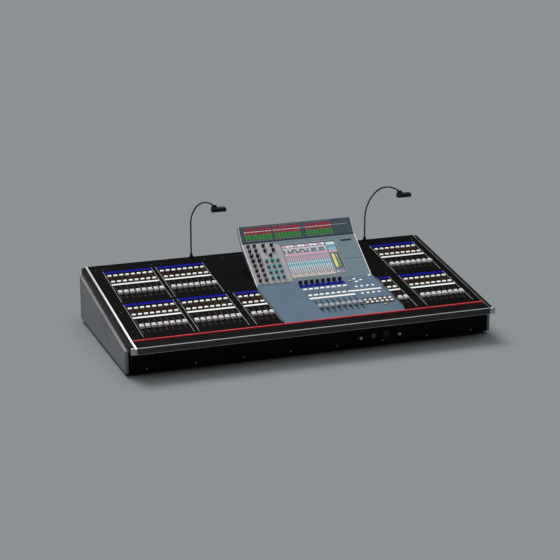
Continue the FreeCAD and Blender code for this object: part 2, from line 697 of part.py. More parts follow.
jack = Part.makeCylinder(9, 1.6).fuse(Part.makeCylinder(6.4, 18, Vector(0, 0, -18)))
jack = jack.cut(Part.makeCylinder(3.2, 15, Vector(0, 0, -13)))
jack = facing(jack, 0, 90)
jack.translate(Vector(JACK_X, 0, CONTROL_Z))
talk = Part.makeCylinder(12.5, 1.6).fuse(Part.makeCylinder(10.9, 20, Vector(0, 0, -20)))
for angle in (90, 210, 330):
    pin = Vector(4 * math.cos(math.radians(angle)), 4 * math.sin(math.radians(angle)), -12)
    talk = talk.cut(Part.makeCylinder(1.3, 15, pin))
talk = facing(talk, 0, 90)
talk.translate(Vector(TALKBACK_X, 0, CONTROL_Z + 3))
loose_group("front_sockets", [jack, talk], desk_frame())


def rear_socket(x, z, wide, tall, wall, deep):
    """Rectangular socket shell with a flange on the panel, open to the back."""
    back = cell("desk_depth")
    shell = block(x, 0, z - tall / 2 + 0.1, wide - 0.2, 2 * deep, tall - 0.2)
    flange = block(x, 1, z - tall / 2 - 3, wide + 6, 2, tall + 6)
    shell = shell.common(block(x, -deep / 2, z - tall, wide, deep, 2 * tall)).fuse(flange)
    hollow = block(x, 1, z - tall / 2 + wall, wide - 2 * wall, 2 * (deep - 2), tall - 2 * wall)
    shell = shell.cut(hollow).removeSplitter()
    shell.translate(Vector(0, back, 0))
    return shell


inlet = rear_socket(*INLET, 2.5, 18)
pins = [block(INLET[0] + dx, cell("desk_depth") - 9, INLET[1] - 3, 2, 16, 5) for dx in (-7, 0, 7)]
for pin in pins:
    inlet = inlet.fuse(pin)
loose_group("rear_sockets", [inlet] + [rear_socket(*place, 1.5, 16) for place in DATA], desk_frame())

rocker = Part.makeCylinder(9, ROCKER[2] - 1, Vector(-(ROCKER[2] - 1) / 2, 0, 0), Vector(1, 0, 0))
rocker = rocker.common(block(0, 3.5, -10, 20, 13, 20))
rocker.translate(Vector(ROCKER[0], cell("desk_depth") - 4, ROCKER[1]))
loose_group("power_rocker", [rocker], desk_frame())

for label, x in zip(("left_front_knob", "right_front_knob"), FRONT_KNOBS):
    control = facing(knob(8, 13, 10, 1.0), 0, 90)
    control.translate(Vector(x, 0, CONTROL_Z))
    loose_group(label, [control], desk_frame())

# Lamps: a stiff gooseneck that swivels in its socket and a hood on a hinge pin.
# A lamp is its socket, its straight run and the radii of its two bends.

LAMPS = [("left", "left_lamp_x", 143, 114, 60), ("right", "right_lamp_x", 93, 181, 82)]
HEADING = math.radians(-45)
BENDS = (45, 125)


def lamp_path(straight, wide_bend, tight_bend):
    """Neck line in its own upright plane: a run up and two tangent bends."""
    points = [(0.0, -6.0), (0.0, straight)]
    x, z = points[-1]
    start = 0.0
    arcs = []
    for radius, stop in ((wide_bend, BENDS[0]), (tight_bend, BENDS[1])):
        steps = [start, (start + stop) / 2, stop]
        spots = []
        for angle in steps:
            a = math.radians(angle)
            b = math.radians(start)
            spots.append((x + radius * (math.cos(b) - math.cos(a)), z + radius * (math.sin(a) - math.sin(b))))
        arcs.append(spots)
        x, z = spots[-1]
        start = stop
    return points, arcs


def neck(straight, wide_bend, tight_bend):
    """Gooseneck with a plug, a collar and a knuckle for the hood's pin."""
    points, arcs = lamp_path(straight, wide_bend, tight_bend)

    def at(spot):
        return Vector(spot[0] * math.cos(HEADING), spot[0] * math.sin(HEADING), spot[1])

    edges = [Part.LineSegment(at((0.0, 8.0)), at(points[1])).toShape()]
    for spots in arcs:
        edges.append(Part.Arc(*[at(spot) for spot in spots]).toShape())
    wire = Part.Wire(edges)
    ring = Part.Wire(Part.makeCircle(cell("lamp_radius"), at((0.0, 8.0)), Vector(0, 0, 1)))
    tube = wire.makePipeShell([ring], True, True)
    collar = Part.makeCylinder(6.5, 12, Vector(0, 0, 0.4))
    plug = Part.makeCylinder(3.95, 8, Vector(0, 0, -6))
    end = at(arcs[-1][-1])
    knuckle = Part.makeCylinder(5, 14, end + Vector(-7, 0, 0), Vector(1, 0, 0))
    bore = Part.makeCylinder(2.6, 16, end + Vector(-8, 0, 0), Vector(1, 0, 0))
    body = tube.fuse([collar, plug, knuckle]).cut(bore)
    return body.removeSplitter(), end


def hood():
    """Long shade, open below, on two ears and a pin at one end; lamp strip under its roof."""
    middle = 19
    shade = block(middle, 0, -24, 60, 25, 17)
    tops = [edge for edge in shade.Edges if edge.CenterOfMass.z > -7.01]
    shade = shade.makeFillet(4, tops)
    shade = shade.cut(block(middle, 0, -25, 56, 21, 14.5))
    for side in (-1, 1):
        ear = block(side * 9.5, 0, -9, 3, 7, 9)
        ear = ear.fuse(Part.makeCylinder(3.5, 3, Vector(side * 9.5 - 1.5, 0, 0), Vector(1, 0, 0)))
        shade = shade.fuse(ear)
    shade = shade.fuse(Part.makeCylinder(2.5, 22, Vector(-11, 0, 0), Vector(1, 0, 0))).removeSplitter()
    strip = block(middle, 0, -12.5, 44, 10, 2)
    return [shade, strip]


socket = Part.makeCylinder(9, 4).fuse(Part.makeCylinder(7, 14, Vector(0, 0, -14)))
socket = socket.cut(Part.makeCylinder(4.05, 12, Vector(0, 0, -8)))
sockets = []
for side, alias, straight, wide_bend, tight_bend in LAMPS:
    foot = Vector(cell(alias), size(SOCKET_Y), size(LEDGE_TOP))
    sockets += copies(socket, [tuple(foot)])
    place = desk_frame(foot.x, foot.y, foot.z + 4)
    shape, end = neck(straight, wide_bend, tight_bend)
    loose_group(side + "_lamp_neck", [shape], place)
    loose_group(side + "_lamp_hood", hood(), desk_frame(foot.x + end.x, foot.y + end.y, foot.z + 4 + end.z))
loose_group("lamp_sockets", sockets, desk_frame())

# Feet and screw heads.

foot = Part.makeCylinder(cell("foot_radius"), cell("foot_height"), Vector(0, 0, -cell("foot_height")))
foot = foot.makeChamfer(2, [edge for edge in foot.Edges if edge.CenterOfMass.z < -cell("foot_height") + 0.01])
spots = [(x, y, 0) for x in (-640, 0, 640) for y in (70, cell("desk_depth") - 70)]
loose_group("rubber_feet", copies(foot, spots), desk_frame())


def screw_head(direction, spot):
    """Flat domed screw head standing on a face."""
    head = Part.makeCylinder(4, 1.6)
    head = head.makeChamfer(0.7, [edge for edge in head.Edges if edge.CenterOfMass.z > 1.59 and edge.Closed])
    head = head.cut(Part.makeBox(6, 1, 0.6, Vector(-3, -0.5, 1.1)))
    turn = Rotation(Vector(0, 0, 1), Vector(*direction))
    head.Placement = Placement(Vector(*spot), turn)
    return head


screws = [screw_head((0, -1, 0), (-675 + 192.8 * i, 0, 12)) for i in range(8)]
side_x = half + 2 + cell("cheek_outer")
for side in (-1, 1):
    for y, z in ((22, 14), (356, 126), (362, 13), (694, 17), (694, 168)):
        screws.append(screw_head((side, 0, 0), (side * side_x, y, z)))
loose_group("case_screws", screws, desk_frame())

# Check every object, then write one file for each sub-part.

doc.recompute()
parts = [item for item in doc.Objects if item.TypeId in ("PartDesign::Body", "Part::Feature")]
for item in doc.Objects:
    if "Invalid" in item.State or "Error" in item.State:
        raise RuntimeError("%s is not computed: %s" % (item.Name, item.State))
for item in parts:
    if item.Shape.isNull() or not item.Shape.isValid():
        raise RuntimeError(item.Label + " has no valid shape")
os.makedirs("parts", exist_ok=True)
for item in parts:
    item.Shape.exportStep("parts/%s.step" % item.Label)
whole = Part.makeCompound([item.Shape for item in parts]).BoundBox
print(len(parts), "parts", whole)
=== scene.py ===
import math
import random
import bmesh
import bpy
from mathutils import Matrix, Vector


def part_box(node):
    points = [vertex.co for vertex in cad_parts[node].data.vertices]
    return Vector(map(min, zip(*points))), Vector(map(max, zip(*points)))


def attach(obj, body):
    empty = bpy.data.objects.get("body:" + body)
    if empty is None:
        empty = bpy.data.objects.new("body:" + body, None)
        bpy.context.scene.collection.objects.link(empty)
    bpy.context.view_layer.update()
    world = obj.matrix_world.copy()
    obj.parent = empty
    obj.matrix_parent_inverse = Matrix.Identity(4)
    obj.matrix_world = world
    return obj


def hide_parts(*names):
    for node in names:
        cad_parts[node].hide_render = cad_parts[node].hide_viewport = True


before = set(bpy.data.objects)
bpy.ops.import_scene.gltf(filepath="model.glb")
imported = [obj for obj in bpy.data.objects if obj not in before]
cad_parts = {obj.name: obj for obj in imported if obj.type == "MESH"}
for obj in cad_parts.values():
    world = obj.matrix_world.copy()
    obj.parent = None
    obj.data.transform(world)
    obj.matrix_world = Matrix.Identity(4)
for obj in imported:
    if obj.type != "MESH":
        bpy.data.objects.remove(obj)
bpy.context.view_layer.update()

# --- Case: floor pan, side cheeks, fascia and rear cover ------------------------------------
# Folded and welded steel sheet and plate, 2 to 12 mm thick, with a textured powder coat.
# The cheeks are a lighter grey than the fascia and the pan, which are nearly black.


def linear(code):
    """sRGB hex code as linear red, green, blue, alpha."""
    shades = [int(code[i:i + 2], 16) / 255 for i in (1, 3, 5)]
    return [s / 12.92 if s <= 0.04045 else ((s + 0.055) / 1.055) ** 2.4 for s in shades] + [1.0]


def node(tree, kind, settings=None, links=None):
    """Add one shader node, set its input sockets by name, and link its inputs."""
    new = tree.nodes.new(kind)
    for name, setting in (settings or {}).items():
        new.inputs[name].default_value = setting
    for name, source in (links or {}).items():
        tree.links.new(source[0].outputs[source[1]], new.inputs[name])
    return new


def noise(tree, where, scale, detail, **settings):
    """Noise texture over object coordinates."""
    settings.update({"Scale": scale, "Detail": detail})
    return node(tree, "ShaderNodeTexNoise", settings, {"Vector": (where, "Object")})


def spread(tree, source, least, most):
    """Map the factor of a texture onto a span of values."""
    span = {"To Min": least, "To Max": most}
    return node(tree, "ShaderNodeMapRange", span, {"Value": (source, "Fac")})


def ramp(tree, source, stops):
    """Colour ramp between two (place, hex) stops."""
    new = node(tree, "ShaderNodeValToRGB", {}, {"Fac": source})
    for element, (place, code) in zip(new.color_ramp.elements, stops):
        element.position = place
        element.color = linear(code)
    return new


def blank(name, **sockets):
    """New material with its shader and object coordinates; plain values go to the shader."""
    material = bpy.data.materials.new(name)
    material.use_nodes = True
    tree = material.node_tree
    shader = tree.nodes["Principled BSDF"]
    for socket, setting in sockets.items():
        shader.inputs[socket.replace("_", " ")].default_value = setting
    where = node(tree, "ShaderNodeTexCoord")
    return material, tree, shader, where


def feed(tree, shader, colour=None, rough=None, height=None, depth=0.0001, strength=0.3):
    """Join colour, roughness and bump height to a shader."""
    if colour:
        tree.links.new(colour[0].outputs[colour[1]], shader.inputs["Base Color"])
    if rough:
        tree.links.new(rough[0].outputs[rough[1]], shader.inputs["Roughness"])
    if height:
        bump = node(tree, "ShaderNodeBump", {"Strength": strength, "Distance": depth}, {"Height": height})
        tree.links.new(bump.outputs["Normal"], shader.inputs["Normal"])


def dress(material, *names):
    """Give CAD nodes a material in every slot they have."""
    for name in names:
        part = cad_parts[name]
        if not part.data.materials:
            part.data.materials.append(material)
        for place in part.material_slots:
            place.material = material


def powder_coat(name, shade, worn, grain_mm=1.2, gloss=0.5):
    """Baked powder coat: a fine pebbled skin, a little lighter where hands have rubbed it."""
    material, tree, shader, where = blank(name, IOR=1.5, Specular_IOR_Level=gloss)
    pebble = noise(tree, where, 1000 / grain_mm, 2.0)
    rub = noise(tree, where, 6.0, 5.0, Roughness=0.6)
    colour = ramp(tree, (rub, "Fac"), [(0.35, shade), (0.72, worn)])
    rough = spread(tree, rub, 0.42, 0.6)
    feed(tree, shader, (colour, "Color"), (rough, "Result"), (pebble, "Fac"), 0.00012, 0.35)
    return material


cheek_coat = powder_coat("grey_powder_coat_on_steel", "#7a7b7e", "#8d8e90")
case_coat = powder_coat("black_powder_coat_on_steel", "#050506", "#0b0b0c", 1.2, 0.1)
dress(cheek_coat, "left_cheek_plate", "right_cheek_plate")
dress(case_coat, "front_fascia", "floor_pan", "rear_panel", "display_rear_cover")

# --- End trims ----------------------------------------------------------------------------
# Aluminium bars over the sides, chamfered outwards, bead-blasted and clear anodised. Outside
# them a black cover fills the outer part of each trim: painted shade for the shadow on the
# trim's outer side. Fine streaks run along the bright metal.


def anodised(name, shade, worn, stretch=(4, 4, 900), rough=(0.24, 0.4)):
    """Clear anodised aluminium: metal with drawn streaks about a millimetre apart."""
    material, tree, shader, where = blank(name, Metallic=1.0)
    along = node(tree, "ShaderNodeMapping", {"Scale": stretch}, {"Vector": (where, "Object")})
    streak = node(tree, "ShaderNodeTexNoise", {"Scale": 1.0, "Detail": 3.0},
                  {"Vector": (along, "Vector")})
    colour = ramp(tree, (streak, "Fac"), [(0.3, worn), (0.7, shade)])
    dull = spread(tree, streak, *rough)
    feed(tree, shader, (colour, "Color"), (dull, "Result"), (streak, "Fac"), 0.00005, 0.15)
    return material


def moulded(name, shade, worn, rough=(0.35, 0.5), grain_mm=0.8, strength=0.2, **sockets):
    """Injection-moulded plastic with a spark-eroded grain and handling marks."""
    material, tree, shader, where = blank(name, IOR=1.53, **sockets)
    grain = noise(tree, where, 1000 / grain_mm, 2.0)
    marks = noise(tree, where, 14.0, 6.0)
    colour = ramp(tree, (marks, "Fac"), [(0.35, shade), (0.7, worn)])
    dull = spread(tree, marks, *rough)
    feed(tree, shader, (colour, "Color"), (dull, "Result"), (grain, "Fac"), 0.00008, strength)
    return material


def piece(name, bm, body, materials, replaced=(), smooth=35):
    """Turn a bmesh in the desk's own frame into a piece that rides on a body."""
    mesh = bpy.data.meshes.new(name)
    bmesh.ops.recalc_face_normals(bm, faces=bm.faces)
    bm.to_mesh(mesh)
    bm.free()
    for material in materials:
        mesh.materials.append(material)
    made = bpy.data.objects.new(name, mesh)
    bpy.context.scene.collection.objects.link(made)
    if smooth:
        mesh.shade_smooth()
        mesh.set_sharp_from_angle(angle=math.radians(smooth))
    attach(made, body)
    if replaced:
        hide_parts(*replaced)
    return made


def close(bm, rings, shade=0):
    """Join rings of vertices in order and cap both ends; the side faces are returned."""
    sides = []
    count = len(rings[0])
    for below, above in zip(rings, rings[1:]):
        for i in range(count):
            sides.append(bm.faces.new((below[i], below[i + 1 - count], above[i + 1 - count], above[i])))
    for face in sides + [bm.faces.new(rings[0]), bm.faces.new(rings[-1])]:
        face.material_index = shade
    return sides


def bar(bm, outline, left, right, shades=None):
    """Bar along X over an outline of (y, z) points, with one material index for each side."""
    ends = [[bm.verts.new((x, y, z)) for y, z in outline] for x in (left, right)]
    for i, side in enumerate(close(bm, ends)):
        side.material_index = shades[i] if shades else 0


trim_metal = anodised("clear_anodised_aluminium", "#d6d8da", "#bcbec1", (900, 3, 900), (0.42, 0.55))
# Black for the outer part of the trims: painted shade standing for the shadow on their outer sides.
trim_painted_shade_black = moulded("black_painted_shade_edge_cover", "#070708", "#0e0e0f", (0.4, 0.5),
                     Specular_IOR_Level=0.12)
fascia_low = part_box("front_fascia")[0]
FRONT = fascia_low.y
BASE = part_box("floor_pan")[0].z
NOSE = FRONT - 0.062
HEEL = FRONT - 0.054
BEND = FRONT + 0.009
REAR = FRONT + 0.716
UNDERSIDE = BASE + 0.092
REAR_UNDERSIDE = BASE + 0.1875
NOSE_TOP = BASE + 0.1180
CHAMFER = 0.007
DROP = 0.004
TRIM_WIDE = 0.023
for label in ("left_end_trim", "right_end_trim"):
    low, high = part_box(label)
    outward = 1 if low.x > 0 else -1
    inner = low.x if outward > 0 else high.x
    lower = [(NOSE, UNDERSIDE), (FRONT, UNDERSIDE), (REAR, REAR_UNDERSIDE)]
    upper = [(REAR, BASE + 0.2195), (BEND, BASE + 0.1240), (NOSE, NOSE_TOP)]
    sloped = [(y, z - DROP) for y, z in upper]
    bm = bmesh.new()
    close(bm, [[bm.verts.new((inner, y, z)) for y, z in lower + upper],
               [bm.verts.new((inner + outward * CHAMFER, y, z)) for y, z in lower + sloped]])
    bar(bm, [(NOSE, UNDERSIDE), (HEEL, UNDERSIDE), (HEEL, BASE + 0.1187), (NOSE, NOSE_TOP)],
        inner + outward * (CHAMFER + 0.0002), inner + outward * TRIM_WIDE)
    bmesh.ops.bevel(bm, geom=bm.edges[:], offset=0.0012, segments=2, affect="EDGES", profile=0.6)
    piece(label + "_bar", bm, "console", [trim_metal], [label], 40)
    # The black cover over the outer part of each trim is painted shade for the shadow on that side.
    cover = [(FRONT - 0.0537, BASE + 0.0925), (FRONT, UNDERSIDE), (REAR, REAR_UNDERSIDE),
             (FRONT + 0.7155, BASE + 0.2140), (BEND, BASE + 0.1185), (FRONT - 0.0537, BASE + 0.1132)]
    bm = bmesh.new()
    bar(bm, cover, inner + outward * (CHAMFER + 0.0003), inner + outward * 0.0228)
    bmesh.ops.bevel(bm, geom=bm.edges[:], offset=0.0016, segments=2, affect="EDGES", profile=0.6)
    piece(label + "_cover", bm, "console", [trim_painted_shade_black], (), 40)

# --- Front rail ----------------------------------------------------------------------------
# Black anodised aluminium extrusion across the front. Its two long front corners are milled
# to bare metal, which shows as two light lines.

low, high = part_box("front_rail")
rail_black = anodised("black_anodised_aluminium", "#4a4b4d", "#424345", (3, 900, 900), (0.3, 0.42))
rail_edge = anodised("milled_bare_aluminium", "#bcbec0", "#a2a4a6", (3, 900, 900), (0.45, 0.6))
MILLED = 0.0016
LIP = 0.003
WALL = 0.004
outline = [(low.y, low.z + MILLED), (low.y, high.z - MILLED), (low.y + MILLED, high.z),
           (low.y + WALL, high.z), (low.y + WALL, low.z + LIP), (high.y, low.z + LIP),
           (high.y, low.z), (low.y, low.z)]
bm = bmesh.new()
bar(bm, outline, low.x, high.x, [0, 1, 1, 0, 0, 0, 0, 1])
piece("front_rail_extrusion", bm, "console", [rail_black, rail_edge], ["front_rail"], 0)

# --- Armrest -------------------------------------------------------------------------------
# Moulded ABS capping between the rail and the red strip, spark-textured and rubbed glossy
# by forearms, crowned a little so that it catches a soft line of light.

low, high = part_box("armrest_top")
armrest_abs = moulded("black_moulded_abs", "#030303", "#080808", (0.4, 0.55), Specular_IOR_Level=0.06)
SPAN = high.y - low.y
EDGE = 0.005
RISE = high.z - low.z - EDGE
CROWN = 0.0008
CROWN_STEPS = 12
profile = [(low.y, low.z), (high.y, low.z + RISE)]
for i in range(CROWN_STEPS + 1):
    t = 1 - i / CROWN_STEPS
    sag = CROWN * (1 - (2 * t - 1) ** 4)
    profile.append((low.y + SPAN * t, low.z + EDGE + RISE * t - CROWN + sag))
bm = bmesh.new()
bar(bm, profile, low.x, high.x)
piece("armrest_capping", bm, "console", [armrest_abs], ["armrest_top"], 30)

# --- Red strip -----------------------------------------------------------------------------
# Extruded gloss PVC set in the fold between the armrest and the control surface.

low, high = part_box("red_strip")
red_pvc = moulded("red_extruded_pvc", "#d8242f", "#e83541", (0.3, 0.42), 2.0, 0.08)
HALF = (high.y - low.y) / 2
BULGE = 0.0022
profile = [(low.y, low.z), (high.y, low.z)]
for i in range(9):
    a = math.pi * i / 8
    profile.append((low.y + HALF + HALF * math.cos(a), high.z - BULGE + BULGE * math.sin(a)))
bm = bmesh.new()
bar(bm, profile, low.x, high.x)
piece("red_fold_strip", bm, "console", [red_pvc], ["red_strip"], 40)

# --- Control surface plates ----------------------------------------------------------------
# Three 3 mm aluminium plates, stove-enamelled: black at the sides, and satin blue-grey in the
# middle as far as the display, with black behind it. Pale rules and brown legends are
# screen-printed between the key rows.


def enamel(name, shade, dusty, rough, gloss):
    """Stove enamel: even gloss with a slight orange peel and a film of dust."""
    material, tree, shader, where = blank(name, IOR=1.5, Specular_IOR_Level=gloss)
    peel = noise(tree, where, 420.0, 1.0)
    dust = noise(tree, where, 9.0, 8.0, Roughness=0.65)
    colour = ramp(tree, (dust, "Fac"), [(0.4, shade), (0.75, dusty)])
    dull = spread(tree, dust, rough, rough + 0.14)
    feed(tree, shader, (colour, "Color"), (dull, "Result"), (peel, "Fac"), 0.00005, 0.12)
    return material


black_enamel = enamel("black_stove_enamel", "#010101", "#040404", 0.45, 0.04)
blue_enamel = enamel("blue_grey_stove_enamel", "#50677a", "#597084", 0.45, 0.3)
dress(black_enamel, "left_surface_plate", "right_surface_plate", "rear_ledge")
dress(blue_enamel, "centre_surface_plate")

SLOPE = math.radians(7.7)
PLATE = 0.003
plate_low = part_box("left_surface_plate")[0]
FOLD = Vector((0, plate_low.y, plate_low.z + PLATE * math.cos(SLOPE)))
SURFACE = Matrix.Translation(FOLD) @ Matrix.Rotation(SLOPE, 4, "X")
PITCH = 0.0245
CAP_WIDE = 0.016
# Distance of each row up the slope from the fold. The far banks lie one tier further up.
FADER_ROW = 0.102
SLOT_ROW = 0.115
RULE_ROW = 0.172
STRIP_ROW = 0.191
NEAR_KEY_ROW = 0.217
LEGEND_ROW = 0.246
FAR_KEY_ROW = 0.275
DISPLAY_ROW = 0.309
ENCODER_ROW = 0.334
TIER = 0.317


def slab(bm, place, x, y, z, wide, deep, tall, shade=0, soft=0.0):
    """Box standing on z about a middle point, in a tilted frame; soft cuts its upper edges."""
    rings = []
    for inset, height in ((0.0, z), (0.0, z + tall - soft), (soft, z + tall))[:3 if soft else 2]:
        a = wide / 2 - inset
        b = deep / 2 - inset
        corners = [(a, b), (-a, b), (-a, -b), (a, -b)]
        if soft:
            corners = [(a - soft, b), (soft - a, b), (-a, b - soft), (-a, soft - b),
                       (soft - a, -b), (a - soft, -b), (a, soft - b), (a, b - soft)]
        rings.append([bm.verts.new(place @ Vector((x + u, y + v, height))) for u, v in corners])
    close(bm, rings, shade)


def bank(name):
    """X of each channel of a fader bank, their middle, the bank's width and its tier's lift."""
    low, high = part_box(name)
    count = round((high.x - low.x - CAP_WIDE) / PITCH) + 1
    columns = [low.x + CAP_WIDE / 2 + PITCH * i for i in range(count)]
    lift = TIER if low.y > plate_low.y + 0.3 else 0.0
    return columns, (columns[0] + columns[-1]) / 2, PITCH * count, lift


centre_low, centre_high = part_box("centre_surface_plate")
display_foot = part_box("display_front_panel")[0].y
bm = bmesh.new()
slab(bm, SURFACE, (centre_low.x + centre_high.x) / 2,
     ((display_foot + centre_high.y) / 2 - FOLD.y) / math.cos(SLOPE), 0,
     centre_high.x - centre_low.x, (centre_high.y - display_foot) / math.cos(SLOPE), 0.0002)
piece("black_rear_band", bm, "console", [black_enamel], (), 0)

BANKS = ["faders_far_left_upper", "faders_far_left_lower", "faders_left_upper", "faders_left_lower",
         "faders_inner_left", "faders_inner_right", "faders_right_upper", "faders_right_lower",
         "faders_centre"]
print_white = moulded("screen_printed_pale_ink", "#c9cbcc", "#d6d8d9", (0.5, 0.6), 1.0, 0.05)
print_brown = moulded("screen_printed_brown_ink", "#3a1e0c", "#5a4014", (0.5, 0.6), 6.0, 0.05,
                      Specular_IOR_Level=0.1)
print_red = moulded("screen_printed_dark_red_ink", "#33120f", "#441a15", (0.5, 0.6), 1.0, 0.05)
print_dark = moulded("screen_printed_dark_ink", "#2b2622", "#3a332c", (0.5, 0.6), 1.0, 0.05)
print_black = moulded("black_slot_edge_tape", "#050506", "#0a0a0b", (0.6, 0.7), 1.0, 0.1,
                      Specular_IOR_Level=0.1)
inks = [print_white, print_brown, print_red, print_dark, print_black]
PALE, BROWN, RED, DARK, TAPE = range(5)
INK = 0.00012
bm = bmesh.new()
for name in BANKS:
    columns, middle, wide, lift = bank(name)
    centre = name == "faders_centre"
    if not centre:
        for side in (-1, 1):
            x = middle + side * (wide / 2 + 0.003)
            slab(bm, SURFACE, x, RULE_ROW + lift, 0, 0.0011, 0.298, INK, PALE)
    for x in columns:
        for i in range(5):
            legend = DARK if centre else BROWN
            slab(bm, SURFACE, x - 0.008 + 0.004 * i, LEGEND_ROW + lift, 0, 0.0012, 0.036, INK, legend)
        for i in range(11):
            long = 0.006 if i % 5 == 0 else 0.0035
            mark = DARK if centre else RED
            slab(bm, SURFACE, x + 0.0075, 0.065 + 0.01 * i + lift, 0, long, 0.0009, INK, mark)
        if not centre:
            slab(bm, SURFACE, x - 0.006, SLOT_ROW + lift, 0, 0.0022, 0.116, INK, RED)
    for x in columns:
        for side in (-1, 1):
            slab(bm, SURFACE, x + side * 0.0019, SLOT_ROW + lift, 0, 0.0012, 0.119, INK * 2, TAPE)
piece("surface_print", bm, "console", inks, (), 0)

# --- Channel displays ----------------------------------------------------------------------
# One smoked acrylic strip over each bank, held by tape, with a lit blue window above every
# channel. The dark gaps between the windows are the strip itself.


def lit(name, shade, power, second=None, scale=300.0):
    """Lamp or display seen through its cover: glowing colour with a faint unevenness."""
    material, tree, shader, where = blank(name, IOR=1.49, Roughness=0.22, Emission_Strength=power)
    cells = noise(tree, where, scale, 2.0)
    colour = ramp(tree, (cells, "Fac"), [(0.3, second or shade), (0.7, shade)])
    tree.links.new(colour.outputs["Color"], shader.inputs["Base Color"])
    tree.links.new(colour.outputs["Color"], shader.inputs["Emission Color"])
    return material


acrylic_black = moulded("smoked_black_acrylic", "#06060c", "#0a0a12", (0.1, 0.2), 3.0, 0.05)
blue_lit = lit("blue_lit_display_glass", "#0404a0", 0.35, "#02026c")
DISPLAY_TALL = 0.0012
for name in BANKS:
    columns, middle, wide, lift = bank(name)
    y = DISPLAY_ROW + lift
    bm = bmesh.new()
    slab(bm, SURFACE, middle, y, 0, wide, 0.0235, DISPLAY_TALL, 0, 0.0003)
    for x in columns:
        slab(bm, SURFACE, x, y, DISPLAY_TALL, PITCH - 0.0034, 0.0165, 0.0003, 1)
    strip_name = name.replace("faders", "channel_display")
    shown = piece(strip_name, bm, "console", [acrylic_black, blue_lit], (), 0)
    if name == "faders_centre":
        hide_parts("channel_displays")

# --- Write-on strips -----------------------------------------------------------------------
# White matt polypropylene strips stuck below the keys, with soft edges and a little grime.

white_pp = moulded("white_matt_polypropylene", "#fafaf8", "#f0f0ec", (0.5, 0.65), 0.6, 0.15)
bm = bmesh.new()
for name in BANKS:
    middle, wide, lift = bank(name)[1:]
    slab(bm, SURFACE, middle, STRIP_ROW + lift, 0, wide, 0.0125, 0.0008, 0, 0.0003)
slab(bm, SURFACE, 0.314, 0.220, 0, 0.128, 0.0115, 0.0008, 0, 0.0003)
piece("write_on_tape", bm, "console", [white_pp], ["write_on_strips"], 0)

# --- Keys ----------------------------------------------------------------------------------
# Translucent white polycarbonate caps, moulded with drafted sides and a dished top, with a
# faint painted glow that lifts their white. They sink through the plate when pressed.


def key_cap(wide, deep, tall):
    """Mesh of one key: drafted sides, rounded rim and dished top."""
    corner = 0.0014
    bm = bmesh.new()
    rings = []
    for grow, z in ((1.0, -0.006), (1.0, 0.0), (0.96, tall * 0.75), (0.88, tall * 0.97), (0.80, tall),
                    (0.55, tall - 0.0005), (0.25, tall - 0.0007)):
        ring = []
        for i in range(16):
            a = math.pi / 2 * (i // 4) + math.pi / 6 * (i % 4)
            u = (wide / 2 - corner) * (1 if i // 4 in (0, 3) else -1) + corner * math.cos(a)
            v = (deep / 2 - corner) * (1 if i // 4 in (0, 1) else -1) + corner * math.sin(a)
            ring.append(bm.verts.new((grow * u, grow * v, z)))
        rings.append(ring)
    close(bm, rings)
    return finished("key_cap", bm)


def finished(name, bm):
    """Turn a bmesh into a mesh with outward normals."""
    bmesh.ops.recalc_face_normals(bm, faces=bm.faces)
    mesh = bpy.data.meshes.new(name)
    bm.to_mesh(mesh)
    bm.free()
    return mesh


def stamp(bm, mesh, place, shade=None):
    """Add a copy of a finished mesh to a bmesh at a place, in its own shades or in one."""
    verts = [bm.verts.new(place @ vert.co) for vert in mesh.vertices]
    for polygon in mesh.polygons:
        face = bm.faces.new([verts[i] for i in polygon.vertices])
        face.material_index = polygon.material_index if shade is None else shade


def on_surface(x, y):
    """Place on the control surface."""
    return SURFACE @ Matrix.Translation((x, y, 0))


# The white caps glow faintly: a painted glow that brightens them, on the channel and keypad keys alike.
key_white_painted_glow = moulded("white_polycarbonate_painted_glow", "#ffffff", "#f4f4f1", (0.35, 0.5), 1.0, 0.1,
                    Emission_Color=linear("#ffffff"), Emission_Strength=0.16)
cap = key_cap(0.016, 0.010, 0.004)
for label, y in (("channel_keys_far_row", FAR_KEY_ROW), ("channel_keys_near_row", NEAR_KEY_ROW)):
    bm = bmesh.new()
    for name in BANKS:
        columns, *_, lift = bank(name)
        for x in columns:
            stamp(bm, cap, on_surface(x, y + lift))
    piece(label + "_caps", bm, label, [key_white_painted_glow], [label])

# --- Keypad --------------------------------------------------------------------------------
# A black moulded surround with two rows of small keys, a cursor cluster and two rows of
# four above it. One of the cluster and the lowest key are yellow.

key_yellow = moulded("yellow_polycarbonate", "#b9b24c", "#c8c05c", (0.3, 0.42), 1.0, 0.1)
pad_cap = key_cap(0.011, 0.009, 0.004)
KEY_STEP = 0.0212
KEY_ROWS = (0.102, 0.125)
spots = [(0.277, 0.311, 1), (0.300, 0.325, 0), (0.301, 0.299, 0), (0.324, 0.311, 0), (0.377, 0.347, 0)]
spots += [(0.282 + 0.024 * i, y, 0) for i in range(4) for y in (0.253, 0.186)]
spots += [(0.269 + KEY_STEP * i, y, 0) for i in range(6) for y in KEY_ROWS] + [(0.333, 0.070, 1)]
bm = bmesh.new()
for x, y, yellow in spots:
    stamp(bm, pad_cap, on_surface(x, y), yellow)
piece("keypad_caps", bm, "keypad_keys", [key_white_painted_glow, key_yellow], ["keypad_keys"])
surround = moulded("black_moulded_surround", "#101012", "#1a1a1c", (0.4, 0.5))
bm = bmesh.new()
for y, deep in ((0.1135, 0.012), (0.091, 0.011), (0.1365, 0.012)):
    slab(bm, SURFACE, 0.319, y, 0, 0.124, deep, 0.0006)
for y in KEY_ROWS:
    for i in range(7):
        slab(bm, SURFACE, 0.2584 + KEY_STEP * i, y, 0, 0.0094 if 0 < i < 6 else 0.005, 0.0105, 0.0006)
piece("keypad_surround", bm, "console", [surround], (), 0)

# --- Faders --------------------------------------------------------------------------------
# White ABS caps, silver ones in the middle bank, with concave thumb faces and a black centre
# line, on steel blades that run in slots. Each bank travels along its slots.


